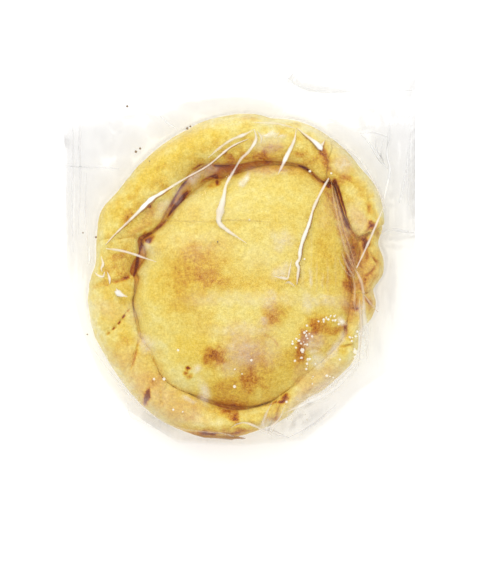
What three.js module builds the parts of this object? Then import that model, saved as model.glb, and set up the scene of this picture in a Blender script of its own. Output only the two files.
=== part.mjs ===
// A baked chicken pastelito in its clear bag, lying flat with the domed lid up. Millimetres, +Z up.
// The origin is the middle of the pie's flat underside, +X is the photograph's right and +Y its top.
// The pie is one solid: a filled lid inside a thick rim that is rolled and tucked round the edge.
// The bag lies tight on the food, so its own solid is the flattened margin that stands out all round.
import * as THREE from "three";
import { mergeVertices } from "three/addons/utils/BufferGeometryUtils.js";

// Driving sizes of the pie. Both ovals share one tilt, which is that of their long axis in degrees.
const OVAL_TILT = 62;
const OUTLINE = { long: 56, short: 48.5, x: 0, y: 1 };
const LIP = { long: 43.5, short: 37, x: 3, y: -2 };
const LID_TOP = 25.5;

// The rim's section, from the underside over the crest to the lip beside the lid.
const UNDERSIDE_ROUND = 6;
const WIDEST_AT = 7.5;
const CREST_HEIGHT = 17;
const CREST_SHARE = 0.48;
const LIP_HEIGHT = 13.2;
const SEAM_DEPTH = 2.3;
const SEAM_WIDTH = 0.6;
const SEAM_UNDERCUT = 0.35;

// Where the seam between lip and lid opens into a gap: place and reach in degrees, then how far the rim's
// crest rises, its lip drops, and the gap is deeper and wider than the seam elsewhere.
const GAPS = [
  { at: 108, reach: 26, crestUp: 1.4, lipDown: 1.6, deeper: 2.2, wider: 4.2 },
  { at: 172, reach: 9, crestUp: 0, lipDown: 0.6, deeper: 1.5, wider: 2.0 },
];

// The lid's section, height against distance out: (1 - m^LID_SPREAD)^LID_ROUND.
const LID_SPREAD = 2.5;
const LID_ROUND = 0.56;

// Bulges and pinches of the two ovals: degrees counter-clockwise from +X, millimetres out, degrees of reach.
const RIM_LOBES = [
  { at: 30, out: 2.0, reach: 9 },
  { at: 13, out: -1.9, reach: 4 },
  { at: 355, out: -2.6, reach: 4.5 },
  { at: 336, out: -2.4, reach: 5 },
  { at: 322, out: 1.0, reach: 6 },
  { at: 298, out: -1.4, reach: 7 },
  { at: 268, out: 1.4, reach: 15 },
  { at: 221, out: -1.7, reach: 12 },
  { at: 175, out: -1.4, reach: 6 },
  { at: 154, out: 2.2, reach: 8 },
  { at: 78, out: -1.5, reach: 6 },
];
const LIP_LOBES = [
  { at: 25, out: -1.8, reach: 10 },
  { at: 47, out: 2.6, reach: 4 },
  { at: 86, out: -2.7, reach: 8 },
  { at: 111, out: 2.6, reach: 8 },
  { at: 146, out: -2.0, reach: 7 },
  { at: 173, out: 1.6, reach: 9 },
  { at: 229, out: -2.7, reach: 12 },
  { at: 286, out: 1.5, reach: 9 },
  { at: 303, out: -1.5, reach: 5 },
  { at: 334, out: 1.2, reach: 7 },
  { at: 357, out: -1.8, reach: 9 },
];

// Tucks of the rolled rim. Each runs from its outer angle to its inner one. The flap on the side that
// covers stands up by lift and dies away over reach degrees.
const TUCKS = [
  { outer: 20, inner: 18, lift: 2.4, reach: 14, covers: 1 },
  { outer: 58, inner: 47, lift: 1.5, reach: 14, covers: 1 },
  { outer: 169, inner: 158, lift: 1.2, reach: 8, covers: 1 },
  { outer: 184, inner: 176, lift: 1.8, reach: 8, covers: -1 },
  { outer: 204, inner: 195, lift: 1.4, reach: 10, covers: -1 },
  { outer: 222, inner: 210, lift: 1.2, reach: 10, covers: -1 },
  { outer: 240, inner: 233, lift: 1.1, reach: 12, covers: -1 },
  { outer: 271, inner: 270, lift: 1.0, reach: 9, covers: -1 },
  { outer: 281, inner: 290, lift: 1.5, reach: 7, covers: 1 },
  { outer: 330, inner: 326, lift: 1.2, reach: 9, covers: -1 },
  { outer: 341, inner: 337, lift: 1.7, reach: 7, covers: 1 },
  { outer: 355, inner: 351, lift: 2.0, reach: 8, covers: 1 },
];
const TUCK_GROOVE = 0.9;
const TUCK_GROOVE_REACH = 1.6;
const TUCK_OUTWARD = 0.45;
const LIP_LIFT_SHARE = 0.3;

// Swellings of the lid over lumps of filling: place, height and reach in millimetres.
const LUMPS = [
  { x: -14, y: 4, up: 1.2, reach: 9 },
  { x: 13, y: -12, up: 0.7, reach: 6 },
  { x: 3, y: -24, up: 1.2, reach: 9 },
  { x: 24, y: -20, up: 1.0, reach: 6 },
  { x: 8, y: 20, up: 0.8, reach: 11 },
  { x: -17, y: -20, up: -0.7, reach: 7 },
];

// The bag's outline as it lies, counter-clockwise from the right edge: 120 wide, with an open top corner.
const BAG_CORNERS = [
  [61, 12],
  [61, 73],
  [22, 72],
  [14, 64],
  [-13, 61],
  [-37, 58],
  [-59, 56],
  [-58, 0],
  [-53, -19],
  [-47, -33],
  [-37, -46],
  [-20, -57],
  [2, -58],
  [23, -56],
  [33, -48],
  [42, -39],
  [55, -31],
  [60, -8],
];
const BAG_GAP = 0.4;
const BAG_ROOT = { height: 6.2, thick: 3 };
const BAG_EDGE = { height: 1.8, thick: 0.8 };
const BAG_DROOP = 7;
const BAG_THIN_OVER = 5;
const BAG_PLEATS = { from: 40, to: 52, pitch: 7, height: 0.7 };
const BAG_RIPPLES = { pitch: 40, height: 0.35 };

// Mesh fineness: the angle between columns, and the rings of each stretch of the section.
const COLUMN_DEGREES = 2.6;
const TUCK_EDGE_DEGREES = 0.55;
const UNDERSIDE_RINGS = [0.5, 1];
const FLANK_RINGS = 3;
const SHOULDER_RINGS = 5;
const INNER_RINGS = 5;
const LID_RINGS = [1, 0.985, 0.95, 0.89, 0.8, 0.68, 0.53, 0.36, 0.18];
const BAG_RINGS = [0, 0.16, 0.36, 0.62, 1];
const MERGE_WITHIN = 1e-4;

const CRUST_COLOUR = 0xf0cf74;
const FILM_COLOUR = 0xf4f6f6;

const { degToRad, euclideanModulo, lerp, radToDeg, smoothstep } = THREE.MathUtils;

/** The signed turn from one angle to another, from -180 to 180 degrees. */
function turn(from, to) {
  return euclideanModulo(to - from + 180, 360) - 180;
}

/** A bell of height 1 at 0 that falls to 1/e at the given reach. */
function bell(away, reach) {
  return Math.exp(-((away / reach) ** 2));
}

/** The distance from the origin to a tilted, shifted oval, along an angle. */
function ovalRadius(oval, degrees) {
  const along = degToRad(degrees - OVAL_TILT);
  const tilt = degToRad(OVAL_TILT);
  const dx = Math.cos(along) / oval.long;
  const dy = Math.sin(along) / oval.short;
  const cx = (oval.x * Math.cos(tilt) + oval.y * Math.sin(tilt)) / oval.long;
  const cy = (oval.y * Math.cos(tilt) - oval.x * Math.sin(tilt)) / oval.short;
  const a = dx * dx + dy * dy;
  const b = dx * cx + dy * cy;
  const c = cx * cx + cy * cy - 1;
  return (b + Math.sqrt(b * b - a * c)) / a;
}

/** The sum of a list's lobes at an angle. */
function lobeSum(lobes, degrees) {
  return lobes.reduce((sum, lobe) => sum + lobe.out * bell(turn(lobe.at, degrees), lobe.reach), 0);
}

/** How far a line that starts at an outer angle has turned when it reaches the lip, in degrees. */
function leanAt(degrees) {
  const found = TUCKS.findIndex((tuck) => tuck.outer > euclideanModulo(degrees, 360));
  const after = TUCKS[Math.max(found, 0)];
  const before = TUCKS.at(Math.max(found, 0) - 1);
  const span = euclideanModulo(after.outer - before.outer, 360);
  const along = euclideanModulo(degrees - before.outer, 360) / span;
  return lerp(turn(before.outer, before.inner), turn(after.outer, after.inner), along);
}

/** A gap size summed over the gaps, at an angle. */
function gapSum(size, degrees) {
  return GAPS.reduce((sum, gap) => sum + gap[size] * bell(turn(gap.at, degrees), gap.reach), 0);
}

/** How far the rim's skin stands out at an outer angle because of its tucks, in millimetres. */
function tuckLift(degrees) {
  return TUCKS.reduce((sum, tuck) => {
    const past = turn(tuck.outer, degrees) * tuck.covers;
    const flap = past > 0 ? tuck.lift * Math.exp(-past / tuck.reach) : 0;
    return sum + flap - TUCK_GROOVE * bell(past, TUCK_GROOVE_REACH);
  }, 0);
}

/** The height of the lid's lumps at a place. */
function lumpHeight(x, y) {
  return LUMPS.reduce((sum, lump) => {
    const away = Math.hypot(x - lump.x, y - lump.y);
    return sum + lump.up * bell(away, lump.reach);
  }, 0);
}

/** A point at an angle, a distance from the origin and a height. */
function polarPoint(degrees, radius, height) {
  const angle = degToRad(degrees);
  return new THREE.Vector3(radius * Math.cos(angle), radius * Math.sin(angle), height);
}

/** The columns' angles: one each side of a tuck, one at a corner of the bag, and even steps between. */
function columnAngles() {
  const tuckEdges = TUCKS.flatMap(({ outer }) => [outer - TUCK_EDGE_DEGREES, outer + TUCK_EDGE_DEGREES]);
  const corners = BAG_CORNERS.map(([x, y]) => euclideanModulo(radToDeg(Math.atan2(y, x)), 360));
  const clear = corners.filter((corner) => tuckEdges.every((edge) => Math.abs(edge - corner) > 0.8));
  const stops = [...tuckEdges, ...clear].sort((a, b) => a - b);
  return stops.flatMap((start, i) => {
    const end = i + 1 < stops.length ? stops[i + 1] : stops[0] + 360;
    const count = Math.max(1, Math.round((end - start) / COLUMN_DEGREES));
    return Array.from({ length: count }, (_, k) => start + ((end - start) * k) / count);
  });
}

/** The stops of a quarter turn in a number of equal steps, without its start, in radians. */
function quarterStops(count) {
  return Array.from({ length: count }, (_, k) => ((k + 1) / count) * (Math.PI / 2));
}

/** One column of the pie's skin, from near the underside's middle, over the rim, to near the lid's top. */
function pieColumn(degrees) {
  const lean = leanAt(degrees);
  const lift = tuckLift(degrees);
  const atLip = degrees + lean;
  const outer = ovalRadius(OUTLINE, degrees) + lobeSum(RIM_LOBES, degrees);
  const lip = ovalRadius(LIP, atLip) + lobeSum(LIP_LOBES, atLip);
  const seamWidth = SEAM_WIDTH + gapSum("wider", atLip);
  const crest = lerp(outer, lip, CREST_SHARE);
  const crestHeight = CREST_HEIGHT + gapSum("crestUp", degrees) + lift;
  const restingLip = LIP_HEIGHT - gapSum("lipDown", atLip);
  const lipHeight = restingLip + LIP_LIFT_SHARE * lift;
  const seamHeight = restingLip - SEAM_DEPTH - gapSum("deeper", atLip);
  const foot = outer - UNDERSIDE_ROUND;

  const underside = UNDERSIDE_RINGS.map((share) => polarPoint(degrees, foot * share, 0));
  const flank = quarterStops(FLANK_RINGS).map((a) =>
    polarPoint(degrees, foot + UNDERSIDE_ROUND * Math.sin(a), WIDEST_AT * (1 - Math.cos(a))));
  const shoulder = quarterStops(SHOULDER_RINGS).map((a) => {
    const out = (outer - crest) * Math.cos(a) + TUCK_OUTWARD * lift * Math.sin(2 * a);
    const height = lerp(WIDEST_AT, crestHeight, Math.sin(a));
    return polarPoint(degrees + lean * CREST_SHARE * Math.sin(a), crest + out, height);
  });
  const inside = quarterStops(INNER_RINGS).map((a) => {
    const angle = degrees + lean * lerp(CREST_SHARE, 1, Math.sin(a));
    return polarPoint(angle, lerp(crest, lip, Math.sin(a)), lerp(lipHeight, crestHeight, Math.cos(a)));
  });
  const seam = [
    polarPoint(atLip, lip + SEAM_UNDERCUT, lerp(lipHeight, seamHeight, 0.6)),
    polarPoint(atLip, lip - 0.4 * seamWidth, seamHeight),
  ];
  const lid = LID_RINGS.map((share) => {
    const edge = lip - seamWidth;
    const smooth = ovalRadius(LIP, atLip) - SEAM_WIDTH;
    const place = polarPoint(atLip, lerp(smooth, edge, share ** 4) * share, 0);
    const rise = (1 - share ** LID_SPREAD) ** LID_ROUND;
    const top = LID_TOP + lumpHeight(place.x, place.y);
    return place.setZ(lerp(seamHeight, top, rise));
  });
  return [...underside, ...flank, ...shoulder, ...inside, ...seam, ...lid];
}

/** The distance from the origin to the bag's outline, along an angle. */
function bagRadius(degrees) {
  const { x: dx, y: dy } = polarPoint(degrees, 1, 0);
  const crossings = BAG_CORNERS.map(([ax, ay], i) => {
    const [bx, by] = BAG_CORNERS[(i + 1) % BAG_CORNERS.length];
    const across = dx * (by - ay) - dy * (bx - ax);
    const along = (ax * dy - ay * dx) / across;
    const reach = (ax * (by - ay) - ay * (bx - ax)) / across;
    return reach > 0 && along > -MERGE_WITHIN && along < 1 + MERGE_WITHIN ? reach : 0;
  });
  return Math.max(...crossings);
}

/** The height of the flat film's pleats and ripples at a place. */
function filmWave(x, y) {
  const side = smoothstep(Math.abs(x), BAG_PLEATS.from, BAG_PLEATS.to);
  const pleat = BAG_PLEATS.height * Math.sin((2 * Math.PI * x) / BAG_PLEATS.pitch);
  return side * pleat + BAG_RIPPLES.height * Math.sin((2 * Math.PI * (y + 0.6 * x)) / BAG_RIPPLES.pitch);
}

/** One closed section of the bag's margin: its lower face outwards, then its upper face back inwards. */
function bagSection(degrees, column) {
  const root = Math.max(...column.map((point) => Math.hypot(point.x, point.y))) + BAG_GAP;
  const edge = bagRadius(degrees);
  const face = (side) => (share) => {
    const out = (edge - root) * share;
    const point = polarPoint(degrees, root + out, 0);
    const flat = 1 - Math.exp(-out / BAG_DROOP);
    const middle = lerp(BAG_ROOT.height, BAG_EDGE.height + filmWave(point.x, point.y), flat);
    const thick = lerp(BAG_EDGE.thick, BAG_ROOT.thick, Math.exp(-out / BAG_THIN_OVER));
    return point.setZ(middle + (side * thick) / 2);
  };
  return [...BAG_RINGS.map(face(-1)), ...BAG_RINGS.toReversed().map(face(1))];
}

/** Two triangles for each cell between neighbouring columns, each column's points running the same way. */
function skinTriangles(columns, ringCount) {
  return columns.flatMap((column, i) => {
    const next = columns[(i + 1) % columns.length];
    return Array.from({ length: ringCount }, (_, j) => {
      const k = (j + 1) % column.length;
      return [column[j], next[j], next[k], column[j], next[k], column[k]];
    }).flat();
  });
}

/** The triangles that close one end of the columns at a middle point, counter-clockwise from above. */
function fanTriangles(columns, ring, middle) {
  return columns.flatMap((column, i) => {
    const next = columns[(i + 1) % columns.length];
    return [middle, column.at(ring), next.at(ring)];
  });
}

/** A closed geometry with merged vertices, from points three to a triangle. */
function closedGeometry(points) {
  return mergeVertices(new THREE.BufferGeometry().setFromPoints(points), MERGE_WITHIN);
}

/** The whole pie as one closed geometry. */
function pieGeometry(columns) {
  const bottom = new THREE.Vector3(0, 0, 0);
  const top = new THREE.Vector3(0, 0, LID_TOP + lumpHeight(0, 0));
  return closedGeometry([
    ...skinTriangles(columns, columns[0].length - 1),
    ...fanTriangles(columns, 0, bottom).reverse(),
    ...fanTriangles(columns, -1, top),
  ]);
}

/** The bag's flattened margin as one closed ring. */
function bagGeometry(angles, columns) {
  const sections = angles.map((angle, i) => bagSection(angle, columns[i]));
  return closedGeometry(skinTriangles(sections, sections[0].length));
}

const angles = columnAngles();
const pieColumns = angles.map(pieColumn);

const pastelito = new THREE.Mesh(
  pieGeometry(pieColumns),
  new THREE.MeshStandardMaterial({ color: CRUST_COLOUR, roughness: 0.62, metalness: 0 }),
);
pastelito.name = "pastelito";

const clearBag = new THREE.Mesh(
  bagGeometry(angles, pieColumns),
  new THREE.MeshStandardMaterial({
    color: FILM_COLOUR, roughness: 0.12, metalness: 0, transparent: true, opacity: 0.3,
  }),
);
clearBag.name = "clear_bag";

const wrappedPastelito = new THREE.Group();
wrappedPastelito.add(pastelito, clearBag);

export default wrappedPastelito;
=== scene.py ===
"""A baked chicken pastelito in its clear bag: the looks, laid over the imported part.

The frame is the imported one: the origin is the middle of the pie's flat underside, +X is the view's
right, +Y its top and +Z up. Shapes are worked out in millimetres, and become metres only where their
points go into a mesh.
"""

import logging
import math
from collections.abc import Callable
from dataclasses import dataclass, field
from enum import Enum
from typing import TypeVar

import bpy
import numpy as np
from numpy.typing import NDArray
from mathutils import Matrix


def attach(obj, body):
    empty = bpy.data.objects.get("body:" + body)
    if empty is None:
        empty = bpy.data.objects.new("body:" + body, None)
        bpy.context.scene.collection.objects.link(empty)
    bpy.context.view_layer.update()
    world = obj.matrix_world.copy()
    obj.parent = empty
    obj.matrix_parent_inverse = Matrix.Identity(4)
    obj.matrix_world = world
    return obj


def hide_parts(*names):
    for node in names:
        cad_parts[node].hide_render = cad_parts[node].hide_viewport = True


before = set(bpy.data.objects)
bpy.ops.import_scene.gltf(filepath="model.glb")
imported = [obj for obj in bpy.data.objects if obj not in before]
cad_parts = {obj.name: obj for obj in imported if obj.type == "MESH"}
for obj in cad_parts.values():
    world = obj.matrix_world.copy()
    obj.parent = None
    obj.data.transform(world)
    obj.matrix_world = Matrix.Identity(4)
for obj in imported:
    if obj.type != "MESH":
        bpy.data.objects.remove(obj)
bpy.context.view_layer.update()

Array = NDArray[np.float64]
Span = tuple[float, float]
Row = tuple[float, ...]
Stops = tuple[Row, ...]
Colour = tuple[float, float, float]
Kind = TypeVar("Kind")

MM = 0.001
PIXELS_HIGH = 587
MM_PER_PIXEL = 0.34
PICTURE_HEIGHT = PIXELS_HIGH * MM_PER_PIXEL
PICTURE_CENTRE = (4.59, -5.95)

log = logging.getLogger("pastelito")


class Node(Enum):
    """The CAD nodes that the pieces stand for."""

    PIE = "pastelito"
    BAG = "clear_bag"


class Slot(Enum):
    """The record's material slots."""

    CRUST = "crust"
    FILM = "film"


# Tables and whole-array arithmetic


def rows(kind: type[Kind], *table: tuple[object, ...]) -> tuple[Kind, ...]:
    """One object of a kind for each row of its values."""
    return tuple(kind(*row) for row in table)


def turn(start: float | Array, end: float | Array) -> Array:
    """The signed turn from one angle to another, in degrees from -180 to 180."""
    return (end - start + 180.0) % 360.0 - 180.0


def bell(away: Array, reach: float | Array) -> Array:
    """A bell of height 1 at 0 that falls to 1/e at the given reach."""
    return np.exp(-((away / reach) ** 2))


def mix(start: float | Array, end: float | Array, share: float | Array) -> Array:
    """The value a share of the way from a start to an end."""
    return start + (end - start) * share


def ease(value: Array, low: float, high: float) -> Array:
    """A smooth step from 0 at a low value to 1 at a high one: 3t^2 - 2t^3."""
    share = np.clip((value - low) / (high - low), 0.0, 1.0)
    return share * share * (3.0 - 2.0 * share)


def band(value: Array, start: float, full: float, fall: float, end: float) -> Array:
    """A smooth band: it rises between the first two values and falls between the last two."""
    return ease(value, start, full) * (1.0 - ease(value, fall, end))


def round_value(degrees: Array, stops: Stops) -> Array:
    """The value at an angle: straight between (degrees, value) stops that run all the way round."""
    at, value = np.array(stops).T
    return np.interp(degrees % 360.0, at, value, period=360.0)


def cell_value(cells: NDArray[np.int64], seed: int) -> Array:
    """A repeatable number from 0 to 1 for each lattice cell: a whole-number hash of its place.

    Args:
        cells: The cells' whole-number places.
        seed: Which pattern to use.

    Returns:
        One number for each cell.
    """
    word = cells @ np.array([374761393, 668265263, 1442695041]) + seed * 974711
    word = (word ^ (word >> 13)) * 1274126177 & 0xFFFFFFFF
    return ((word ^ (word >> 16)) & 0xFFFF) / 0xFFFF


def noise(points: Array, pitch: float | Row, seed: int) -> Array:
    """Smooth random values from -1 to 1 over space.

    A point takes the blend of the values at its lattice cell's corners, each weighted by the smooth
    step 3t^2 - 2t^3 of the point's place in the cell.

    Args:
        points: Places, with their coordinates along the last axis.
        pitch: The lattice's spacing, one number or one for each coordinate.
        seed: Which of the endless patterns to use.

    Returns:
        One value for each place.
    """
    room = np.zeros(points.shape[:-1] + (3,))
    room[..., : points.shape[-1]] = points / np.asarray(pitch)
    cell = np.floor(room).astype(np.int64)
    inner = room - cell
    weight = inner * inner * (3.0 - 2.0 * inner)
    total = np.zeros(points.shape[:-1])
    for corner in np.ndindex(2, 2, 2):
        share = np.prod(np.where(corner, weight, 1.0 - weight), axis=-1)
        total += share * cell_value(cell + np.array(corner), seed)
    return 2.0 * total - 1.0


@dataclass(frozen=True)
class Mottle:
    """A value that strays smoothly over space: its mean, how far it strays, its pitch and its pattern."""

    mean: float
    stray: float
    pitch: float | Row
    seed: int

    def at(self, points: Array) -> Array:
        """The value at places: the mean plus stray times noise."""
        return self.mean + self.stray * noise(points, self.pitch, self.seed)


def shaken(place: Array, reach: float, *layers: tuple[float, int]) -> Array:
    """Places in plan moved by noise: one (pitch, seed) layer along x and one along y."""
    return place + reach * np.stack([noise(place, pitch, seed) for pitch, seed in layers], axis=-1)


def smooth_path(stops: Array, spacing: float) -> Array:
    """A smooth path through stops, as Catmull-Rom cubics between neighbouring stops.

    Args:
        stops: One row for each stop: x, y and any further values.
        spacing: About how far apart the samples lie.

    Returns:
        One row for each sample, with the same columns.
    """
    ends = np.vstack([2 * stops[0] - stops[1], stops, 2 * stops[-1] - stops[-2]])
    spans = np.linalg.norm(np.diff(stops[:, :2], axis=0), axis=1)
    counts = np.maximum(2, np.ceil(spans / spacing).astype(int))
    piece = np.repeat(np.arange(len(spans)), counts)
    share = np.concatenate([np.arange(count) / count for count in counts])[:, None]
    before, start, end, after = (ends[piece + k] for k in range(4))
    bend = 2 * before - 5 * start + 4 * end - after
    swing = 3 * start - before - 3 * end + after
    curve = 0.5 * (2 * start + (end - before) * share + bend * share**2 + swing * share**3)
    return np.vstack([curve, stops[-1]])


def path_length(path: Array) -> float:
    """The length of a path in plan."""
    return float(np.linalg.norm(np.diff(path[:, :2], axis=0), axis=1).sum())


def distance_to_path(place: Array, path: Array) -> tuple[Array, Array]:
    """How far places lie from a path, and how far along it their nearest point is.

    Each stretch gives the distance to its nearest point, which is the place's projection on it,
    held between the stretch's ends. The least of them counts.

    Args:
        place: Places in plan, x and y along the last axis.
        path: The path's points in plan, one a row.

    Returns:
        The distances, and the share of the path's length from 0 to 1.
    """
    steps = np.diff(path[:, :2], axis=0)
    lengths = np.linalg.norm(steps, axis=1)
    starts = np.concatenate([[0.0], np.cumsum(lengths)])
    nearest = np.full(place.shape[:-1], np.inf)
    share = np.zeros(place.shape[:-1])
    for start, step, length, begun in zip(path[:, :2], steps, lengths, starts):
        held = np.clip((place - start) @ step / length**2, 0.0, 1.0)
        away = np.linalg.norm(place - start - held[..., None] * step, axis=-1)
        closer = away < nearest
        nearest = np.where(closer, away, nearest)
        share = np.where(closer, (begun + held * length) / starts[-1], share)
    return nearest, share


# Meshes from grids


def ball(rings: int, columns: int) -> Array:
    """Points of a ball of radius 1 at the origin, by ring from its foot up and by column.

    With p the angle down from its top and a the angle round it, a point is at
    (sin p cos a, sin p sin a, cos p).

    Args:
        rings: How many rings it has between its two ends.
        columns: How many points each ring has.

    Returns:
        The points, by ring and column.
    """
    polar = np.linspace(np.pi, 0.0, rings + 2)[1:-1, None]
    around = np.radians(np.arange(columns) * 360.0 / columns)
    wide = np.sin(polar)
    sides = np.broadcast_arrays(wide * np.cos(around), wide * np.sin(around), np.cos(polar))
    return np.stack(sides, axis=-1)


@dataclass
class Skin:
    """Closed grids of points, gathered into one mesh with values at its points."""

    points: list[Array] = field(default_factory=list)
    quads: list[NDArray[np.int64]] = field(default_factory=list)
    triangles: list[NDArray[np.int64]] = field(default_factory=list)
    values: dict[str, list[Array]] = field(default_factory=dict)
    count: int = 0

    def add(self, grids: Array, **values: Array) -> None:
        """Adds grids that close round their columns and shut at both end rings on a middle point.

        The way the columns run crossed with the way the rings run points out of the solid.

        Args:
            grids: Points in millimetres, by grid, ring and column.
            values: Named values at the same points.
        """
        bodies, rings, columns = grids.shape[:3]
        middles = grids[:, [0, -1]].mean(axis=2)
        self.points.append(np.concatenate([grids.reshape(bodies, -1, 3), middles], axis=1).reshape(-1, 3))
        for name, value in values.items():
            ends = value[:, [0, -1]].mean(axis=2)
            flat = np.concatenate([value.reshape(bodies, -1), ends], axis=1)
            self.values.setdefault(name, []).append(flat.ravel())

        size = rings * columns + 2
        first = self.count + size * np.arange(bodies)[:, None, None]
        here = np.arange(columns)[None, None, :]
        after = (here + 1) % columns
        low = first + columns * np.arange(rings - 1)[None, :, None]
        cells = (low + here, low + after, low + columns + after, low + columns + here)
        self.quads.append(np.stack(cells, axis=-1).reshape(-1, 4))
        last = first + columns * (rings - 1)
        middle = first + rings * columns
        for corners in ((middle, first + after, first + here), (middle + 1, last + here, last + after)):
            self.triangles.append(np.stack(np.broadcast_arrays(*corners), axis=-1).reshape(-1, 3))
        self.count += bodies * size

    def add_one(self, grid: Array, **values: Array | float) -> None:
        """Adds one grid, by ring and column. A value may be a single one for a ring or for the whole."""
        spread = {name: np.broadcast_to(value, grid.shape[:2])[None] for name, value in values.items()}
        self.add(grid[None], **spread)

    def piece(self, name: str, slot: Slot, *nodes: Node) -> bpy.types.Object:
        """Makes the object, which rides on the part's one body.

        Args:
            name: The piece's name.
            slot: The material slot that the piece belongs to; it is not used.
            nodes: The CAD nodes that it stands for.

        Returns:
            The object, at the origin, with its values as point attributes.
        """
        quads, triangles = np.concatenate(self.quads), np.concatenate(self.triangles)
        starts = np.concatenate([4 * np.arange(len(quads)), 4 * len(quads) + 3 * np.arange(len(triangles))])
        corners = np.concatenate([quads.ravel(), triangles.ravel()])
        mesh = bpy.data.meshes.new(name)
        mesh.vertices.add(self.count)
        mesh.vertices.foreach_set("co", (np.concatenate(self.points) * MM).ravel())
        mesh.loops.add(len(corners))
        mesh.loops.foreach_set("vertex_index", corners)
        mesh.polygons.add(len(starts))
        mesh.polygons.foreach_set("loop_start", starts)
        mesh.polygons.foreach_set("use_smooth", np.ones(len(starts), dtype=bool))
        mesh.update(calc_edges=True)
        for label, parts in self.values.items():
            layer = mesh.attributes.new(label, "FLOAT", "POINT")
            layer.data.foreach_set("value", np.concatenate(parts))
        made = bpy.data.objects.new(name, mesh)
        bpy.context.scene.collection.objects.link(made)
        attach(made, "root")
        if nodes:
            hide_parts(*(node.value for node in nodes))
        log.info("%s: %d triangles", name, 2 * len(quads) + len(triangles))
        return made


# Shader nodes as expressions


def operator(operation: str, reflected: bool = False) -> Callable[["Wire", "Wire | float"], "Wire"]:
    """Makes an operator that adds a Math node.

    Args:
        operation: The node's operation.
        reflected: Whether the other value comes first.

    Returns:
        The operator, as a method of Wire.
    """
    def apply(wire: "Wire", other: "Wire | float") -> "Wire":
        """The operation on a wire and another value."""
        return wire.graph.math(operation, *((other, wire) if reflected else (wire, other)))

    return apply


class Wire:
    """A shader node's output, on which arithmetic adds Math nodes."""

    def __init__(self, graph: "Graph", socket: bpy.types.NodeSocket) -> None:
        """Wraps one output socket of a graph."""
        self.graph = graph
        self.socket = socket

    __add__ = operator("ADD")
    __radd__ = operator("ADD", reflected=True)
    __sub__ = operator("SUBTRACT")
    __rsub__ = operator("SUBTRACT", reflected=True)
    __mul__ = operator("MULTIPLY")
    __rmul__ = operator("MULTIPLY", reflected=True)
    __truediv__ = operator("DIVIDE")
    __pow__ = operator("POWER")


class Graph:
    """A material's node tree, filled by expressions."""

    def __init__(self, name: str) -> None:
        """Starts an empty material with its output node.

        Args:
            name: The material's name.
        """
        self.material = bpy.data.materials.new(name)
        self.material.use_nodes = True
        self.tree = self.material.node_tree
        self.tree.nodes.clear()
        self.output = self.tree.nodes.new("ShaderNodeOutputMaterial")

    def add(self, kind: str, settings: dict[str, object] | None = None,
            sockets: dict[str | int, object] | None = None, output: str | int = 0) -> Wire:
        """Adds a node.

        Args:
            kind: The node's type.
            settings: Its own settings, and for a ramp its stops as (place, colour) pairs.
            sockets: Values or wires for its inputs, by name or number.
            output: The output to hand back.

        Returns:
            That output.
        """
        node = self.tree.nodes.new(kind)
        for name, value in (settings or {}).items():
            if name == "stops":
                self.set_stops(node.color_ramp, value)
            else:
                setattr(node, name, value)
        for name, value in (sockets or {}).items():
            if isinstance(value, Wire):
                self.tree.links.new(value.socket, node.inputs[name])
            else:
                node.inputs[name].default_value = value
        return Wire(self, node.outputs[output])

    @staticmethod
    def set_stops(ramp: bpy.types.ColorRamp, stops: tuple[tuple[float, Colour], ...]) -> None:
        """Gives a ramp its stops.

        Args:
            ramp: The ramp.
            stops: One (place, colour) pair for each stop.
        """
        while len(ramp.elements) < len(stops):
            ramp.elements.new(1.0)
        for element, (place, colour) in zip(ramp.elements, stops):
            element.position = place
            element.color = (*colour, 1.0)

    def math(self, operation: str, *values: "Wire | float") -> Wire:
        """A Math node on one or two values."""
        return self.add("ShaderNodeMath", {"operation": operation}, dict(enumerate(values)))

    def held(self, value: Wire) -> Wire:
        """A value held between 0 and 1."""
        return self.add("ShaderNodeClamp", None, {"Value": value})

    def attribute(self, name: str) -> Wire:
        """A value that the mesh holds at its points."""
        return self.add("ShaderNodeAttribute", {"attribute_name": name}, None, "Fac")

    def grain(self, pitch: float, detail: float = 2.0, stretch: Row | None = None) -> Wire:
        """Noise in Object coordinates, from 0 to 1.

        Args:
            pitch: The size of its grains in millimetres.
            detail: How many finer layers it has.
            stretch: How many times finer it is along each axis, if not alike.

        Returns:
            The noise's value.
        """
        place = self.add("ShaderNodeTexCoord", None, None, "Object")
        if stretch:
            place = self.add("ShaderNodeMapping", None, {"Vector": place, "Scale": stretch})
        sockets = {"Vector": place, "Scale": 1.0 / (pitch * MM), "Detail": detail}
        return self.add("ShaderNodeTexNoise", None, sockets, 0)

    def colour_mix(self, share: Wire | float, low: "Wire | Colour", high: "Wire | Colour") -> Wire:
        """A blend of two colours."""
        low, high = (c if isinstance(c, Wire) else (*c, 1.0) for c in (low, high))
        return self.add("ShaderNodeMix", {"data_type": "RGBA"}, {0: share, 6: low, 7: high}, 2)

    def scaled(self, colour: Wire, factor: Wire) -> Wire:
        """A colour times a number, as a Vector Math node."""
        return self.add("ShaderNodeVectorMath", {"operation": "SCALE"}, {0: colour, "Scale": factor})

    def see_through(self, share: Wire, clear: Wire, shader: Wire) -> Wire:
        """A clear shader with a share of another over it."""
        return self.add("ShaderNodeMixShader", None, {"Fac": share, 1: clear, 2: shader})

    def bump(self, height: Wire, depth: float, strength: float = 1.0) -> Wire:
        """A normal tilted by a height of 0 to 1 that is a depth in millimetres."""
        sockets = {"Height": height, "Distance": depth * MM, "Strength": strength}
        return self.add("ShaderNodeBump", None, sockets)

    def finish(self, shader: Wire) -> bpy.types.Material:
        """Joins the last shader to the output and hands back the material."""
        self.tree.links.new(shader.socket, self.output.inputs["Surface"])
        return self.material


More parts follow.
